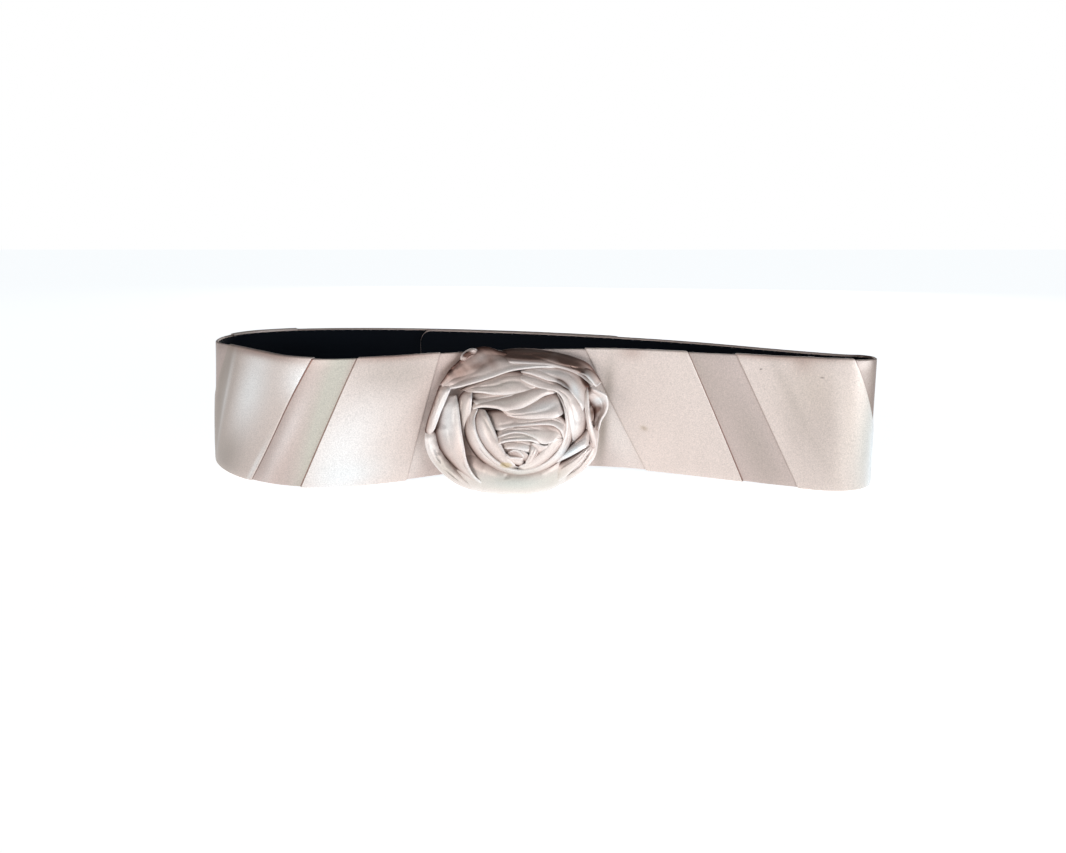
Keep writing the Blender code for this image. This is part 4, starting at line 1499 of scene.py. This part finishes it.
@dataclass
class Rosette:
    """The rolled satin flower: its folded turns over a hidden core. The core's sizes are millimetres."""

    core_right: float = 40.0
    core_left: float = -43.0
    core_top: float = 31.5
    core_bottom: float = -33.0
    core_drop: float = 14.0
    core_sides: int = 64
    core_across: float = 2.6
    turn_pitch: float = 61.0
    turn_wide: float = 8.8
    weld: float = 0.001 * MM
    strip_wide: float = 18.0 * MM
    strip_long: float = 570.0 * MM
    guard: BandGuard = field(default_factory=BandGuard)

    def build_petals(self, material: bpy.types.Material) -> bpy.types.Object:
        """Makes the folded turns.

        Args:
            material: their finish.

        Returns:
            The piece.
        """
        weaver = Weaver()
        for number, petal in enumerate(PETALS):
            rings = petal.sections()
            last, count = len(rings) - 1, len(rings[0])
            start, long = self.turn_pitch * number, line_length(petal.rim)
            acrosses = [self.turn_wide * min(j, count - j) / petal.rows for j in range(count)]
            placed = [[self.guard.hold(flower_point(p)) for p in ring] for ring in rings]
            measures = [[(start + long * i / last, across) for across in acrosses] for i in range(last + 1)]
            weaver.loft(placed, measures)
        return weaver.piece("rosette_turns", material, self.weld)

    def build_core(self, material: bpy.types.Material) -> bpy.types.Object:
        """Makes the low dome that closes the spaces under the turns.

        Args:
            material: its finish.

        Returns:
            The piece.
        """
        weaver = Weaver()
        sections, measures = [], []
        middle = (0.5 * (self.core_right + self.core_left), 0.5 * (self.core_top + self.core_bottom))
        half = (0.5 * (self.core_right - self.core_left), 0.5 * (self.core_top - self.core_bottom))
        angles = [math.tau * k / self.core_sides for k in range(self.core_sides)]
        for share, near in CORE_ROWS:
            places = [(middle[0] + half[0] * share * math.cos(angle),
                       middle[1] + half[1] * share * math.sin(angle) - self.core_drop * (1.0 - share), near)
                      for angle in angles]
            sections.append([self.guard.hold(flower_point(place)) for place in places])
            measures.append([(place[0], self.core_across) for place in places])
        weaver.loft(sections, measures)
        return weaver.piece("rosette_core", material, self.weld)

    def dress(self, petals: bpy.types.Object, core: bpy.types.Object) -> None:
        """Args:
            petals: the folded turns.
            core: the dome under them.
        """
        for piece in (petals, core):
            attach(piece, ROOT)
            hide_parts("rosette")
        LOG.info("rosette cloth %.1f cm2", half_area(petals) * 1.0e4)


@dataclass
class SlipStitches:
    """Small slanting stitches that hold the lining's edges to the turned satin."""

    spacing: float = 5.6 * MM
    length: float = 1.9 * MM
    thickness: float = 0.42 * MM
    seed: int = 7
    step: float = 3.0 * MM
    edge: float = 0.2 * MM
    leans: tuple[tuple[float, float, float], ...] = ((0.05, -0.16, -0.2), (0.42, 0.16, 0.2))
    sizes: tuple[tuple[float, float, float], ...] = ((0.85, 0.85, 0.78), (1.1, 1.1, 1.12))

    def tree(self, material: bpy.types.Material) -> bpy.types.NodeTree:
        """Builds the node tree that lays stitches along a line.

        Args:
            material: the thread's finish.

        Returns:
            The tree.
        """
        tree = bpy.data.node_groups.new("slip_stitches", "GeometryNodeTree")
        for way in ("INPUT", "OUTPUT"):
            tree.interface.new_socket("Geometry", in_out=way, socket_type="NodeSocketGeometry")
        given = add_node(tree, "NodeGroupInput").outputs["Geometry"]
        curve = add_node(tree, "GeometryNodeMeshToCurve", {}, {"Mesh": given}).outputs[0]
        points = add_node(tree, "GeometryNodeCurveToPoints", {"mode": "LENGTH"},
                          {"Curve": curve, "Length": self.spacing}).outputs
        bead = add_node(tree, "GeometryNodeMeshUVSphere", {}, {"Segments": 8, "Rings": 6, "Radius": 0.5})
        shaped = add_node(tree, "GeometryNodeTransform", {}, {
            "Geometry": bead.outputs[0], "Scale": (self.thickness, self.thickness, self.length)})
        vary, lean = (
            add_node(tree, "FunctionNodeRandomValue", {"data_type": "FLOAT_VECTOR"},
                     {0: least, 1: most, "Seed": self.seed}).outputs[0]
            for least, most in (self.sizes, self.leans)
        )
        turn = add_node(tree, "FunctionNodeEulerToRotation", {}, {0: lean}).outputs[0]
        facing = add_node(tree, "FunctionNodeRotateRotation", {"rotation_space": "LOCAL"},
                          {0: points["Rotation"], 1: turn}).outputs[0]
        laid = add_node(tree, "GeometryNodeInstanceOnPoints", {}, {
            "Points": points["Points"], "Instance": shaped.outputs[0], "Rotation": facing, "Scale": vary})
        real = add_node(tree, "GeometryNodeRealizeInstances", {}, {"Geometry": laid.outputs[0]})
        done = add_node(tree, "GeometryNodeSetMaterial", {}, {
            "Geometry": real.outputs[0], "Material": material})
        add_node(tree, "NodeGroupOutput", {}, {"Geometry": done.outputs[0]})
        return tree

    def lines(self) -> bpy.types.Object:
        """Makes the lines that the stitches follow, along both long edges of the lining.

        Returns:
            The object that holds them.
        """
        bm = bmesh.new()
        out = -0.5 * BAND_WALL - LAY - LINING_CLOTH
        begin, end = END_CORNER, PATH.length + OVERLAP - END_CORNER
        count = round((end - begin) / self.step)
        for height in (BAND_BOTTOM + EDGE_TURNING + self.edge, BAND_TOP - EDGE_TURNING - self.edge):
            line = [bm.verts.new(panel_point(begin + (end - begin) * k / count, out, height))
                    for k in range(count + 1)]
            for a, b in zip(line, line[1:]):
                bm.edges.new((a, b))
        return new_object("lining_stitches", new_mesh("stitch_lines", bm))

    def build(self, material: bpy.types.Material) -> bpy.types.Object:
        """Lays the stitches and turns them into a plain mesh.

        Args:
            material: the thread's finish.

        Returns:
            The piece.
        """
        obj = self.lines()
        modifier = obj.modifiers.new("stitches", "NODES")
        modifier.node_group = self.tree(material)
        graph = bpy.context.evaluated_depsgraph_get()
        mesh = bpy.data.meshes.new_from_object(obj.evaluated_get(graph))
        obj.modifiers.remove(modifier)
        obj.data = mesh
        mesh.shade_smooth()
        return obj

    def dress(self, piece: bpy.types.Object) -> None:
        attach(piece, ROOT)


@dataclass(frozen=True)
class Lamp:
    """One soft light: where it hangs, its width and height in metres, its watts and its colour."""

    name: str
    place: tuple[float, float, float]
    size: tuple[float, float]
    power: float
    tone: Colour

    def hang(self, aim: Vector) -> None:
        """Hangs the light.

        Args:
            aim: the point that it faces.
        """
        data = bpy.data.lights.new(self.name, "AREA")
        data.shape = "RECTANGLE"
        data.size, data.size_y = self.size
        data.energy = self.power
        data.color = self.tone
        obj = new_object(self.name, data)
        obj.location = self.place
        obj.rotation_euler = (aim - Vector(self.place)).to_track_quat("-Z", "Y").to_euler()


LAMPS = (
    Lamp("window", (0.92, -0.86, 0.10), (0.9, 0.20), 8.6, (0.90, 0.96, 1.0)),
    Lamp("room_behind", (0.20, 1.30, 0.22), (1.0, 0.4), 4.5, (1.0, 0.97, 0.95)),
    Lamp("room_left", (-0.70, -0.95, 0.16), (0.6, 0.3), 3.9, (1.0, 0.95, 0.92)),
)


@dataclass
class Studio:
    """The pale floor, the soft light and the camera."""

    floor_reach: float = 6.0
    floor_drop: float = 0.05 * MM
    aim: tuple[float, float, float] = (0.0, 0.0, 0.03)
    photo_wide: float = 1066.0
    photo_focal: float = 720.0
    sensor: float = 36.0
    nearest: float = 0.01
    low_surroundings: float = 0.22
    high_surroundings: float = 0.03
    horizon: tuple[float, float] = (0.05, 0.60)
    eye: tuple[float, float, float] = (5.13 * MM, -383.31 * MM, 120.6 * MM)
    tilt: float = math.radians(90.0 - 14.89)

    def floor(self) -> bpy.types.Object:
        """Lays the floor just under the belt.

        Returns:
            The floor.
        """
        bm = bmesh.new()
        corners = ((-1, -1), (1, -1), (1, 1), (-1, 1))
        bm.faces.new([bm.verts.new((x * self.floor_reach, y * self.floor_reach, -self.floor_drop))
                      for x, y in corners])
        obj = new_object("floor", new_mesh("floor", bm))
        obj.data.materials.append(FloorFinish().material())
        return obj

    def light(self) -> None:
        """Hangs the soft lights and sets the pale surroundings, which the camera sees as white."""
        for lamp in LAMPS:
            lamp.hang(Vector(self.aim))
        world = bpy.data.worlds.new("pale_room")
        world.use_nodes = True
        tree = world.node_tree
        way = add_node(tree, "ShaderNodeTexCoord").outputs["Generated"]
        height = add_node(tree, "ShaderNodeSeparateXYZ", {}, {0: way}).outputs["Z"]
        seen = add_node(tree, "ShaderNodeLightPath").outputs["Is Camera Ray"]
        room = add_node(tree, "ShaderNodeMapRange", {}, {
            "Value": height, "From Min": self.horizon[0], "From Max": self.horizon[1],
            "To Min": self.low_surroundings, "To Max": self.high_surroundings}).outputs["Result"]
        brightness = add_node(tree, "ShaderNodeMapRange", {}, {
            "Value": seen, "To Min": room, "To Max": 1.0}).outputs["Result"]
        background = tree.nodes["Background"].inputs
        tree.links.new(brightness, background["Strength"])
        background["Color"].default_value = (1.0, 1.0, 1.0, 1.0)
        bpy.context.scene.world = world
        bpy.context.scene.view_settings.view_transform = "Standard"

    def camera(self) -> None:
        """Sets the camera at the photograph's angle."""
        data = bpy.data.cameras.new("camera")
        data.sensor_width = self.sensor
        data.lens = self.sensor * self.photo_focal / self.photo_wide
        data.clip_start = self.nearest
        obj = new_object("camera", data)
        obj.location = self.eye
        obj.rotation_euler = (self.tilt, 0.0, 0.0)
        bpy.context.scene.camera = obj


def main() -> None:
    """Builds and dresses each piece."""
    logging.basicConfig(level=logging.INFO, format="%(message)s")
    studio = Studio()
    studio.camera()
    studio.floor()
    studio.light()

    half = 0.5 * BAND_WALL
    band = FlatStrip("band_satin_strip", "band_base", Slot.BAND, half, -half, 0.0, 0.0)
    band_finish = SatinFinish("band_satin_finish", Tone.BLUSH.value, BAND_PAINTED_LIGHT, end_shade=True)
    band.dress(band.build(band_finish.material()))
    LOG.info("band built")

    face = -half - LAY
    lining = FlatStrip("lining_strip", "band_lining", Slot.LINING, face, face - LINING_CLOTH,
                       EDGE_TURNING, END_TURNING)
    lining.dress(lining.build(LiningFinish().material()))
    LOG.info("lining built")

    cloth = SatinFinish("wrap_satin_finish", Tone.CHAMPAGNE.value, WRAP_PAINTED_LIGHT).material()
    for row in WRAP_ROWS:
        wrap = Wrap(row)
        wrap.dress(wrap.build(cloth))
        LOG.info("%s built", wrap.name)

    stitches = SlipStitches()
    stitches.dress(stitches.build(ThreadFinish().material()))
    LOG.info("stitches laid")

    flower = Rosette()
    satin = SatinFinish("rosette_satin_finish", Tone.PETAL.value, rolled=True, sparkle=0.40,
                        gleam=(1.0, 0.88, 0.83, 1.0)).material()
    flower.dress(flower.build_petals(satin), flower.build_core(satin))
    LOG.info("rosette built")


if __name__ == "__main__":
    main()
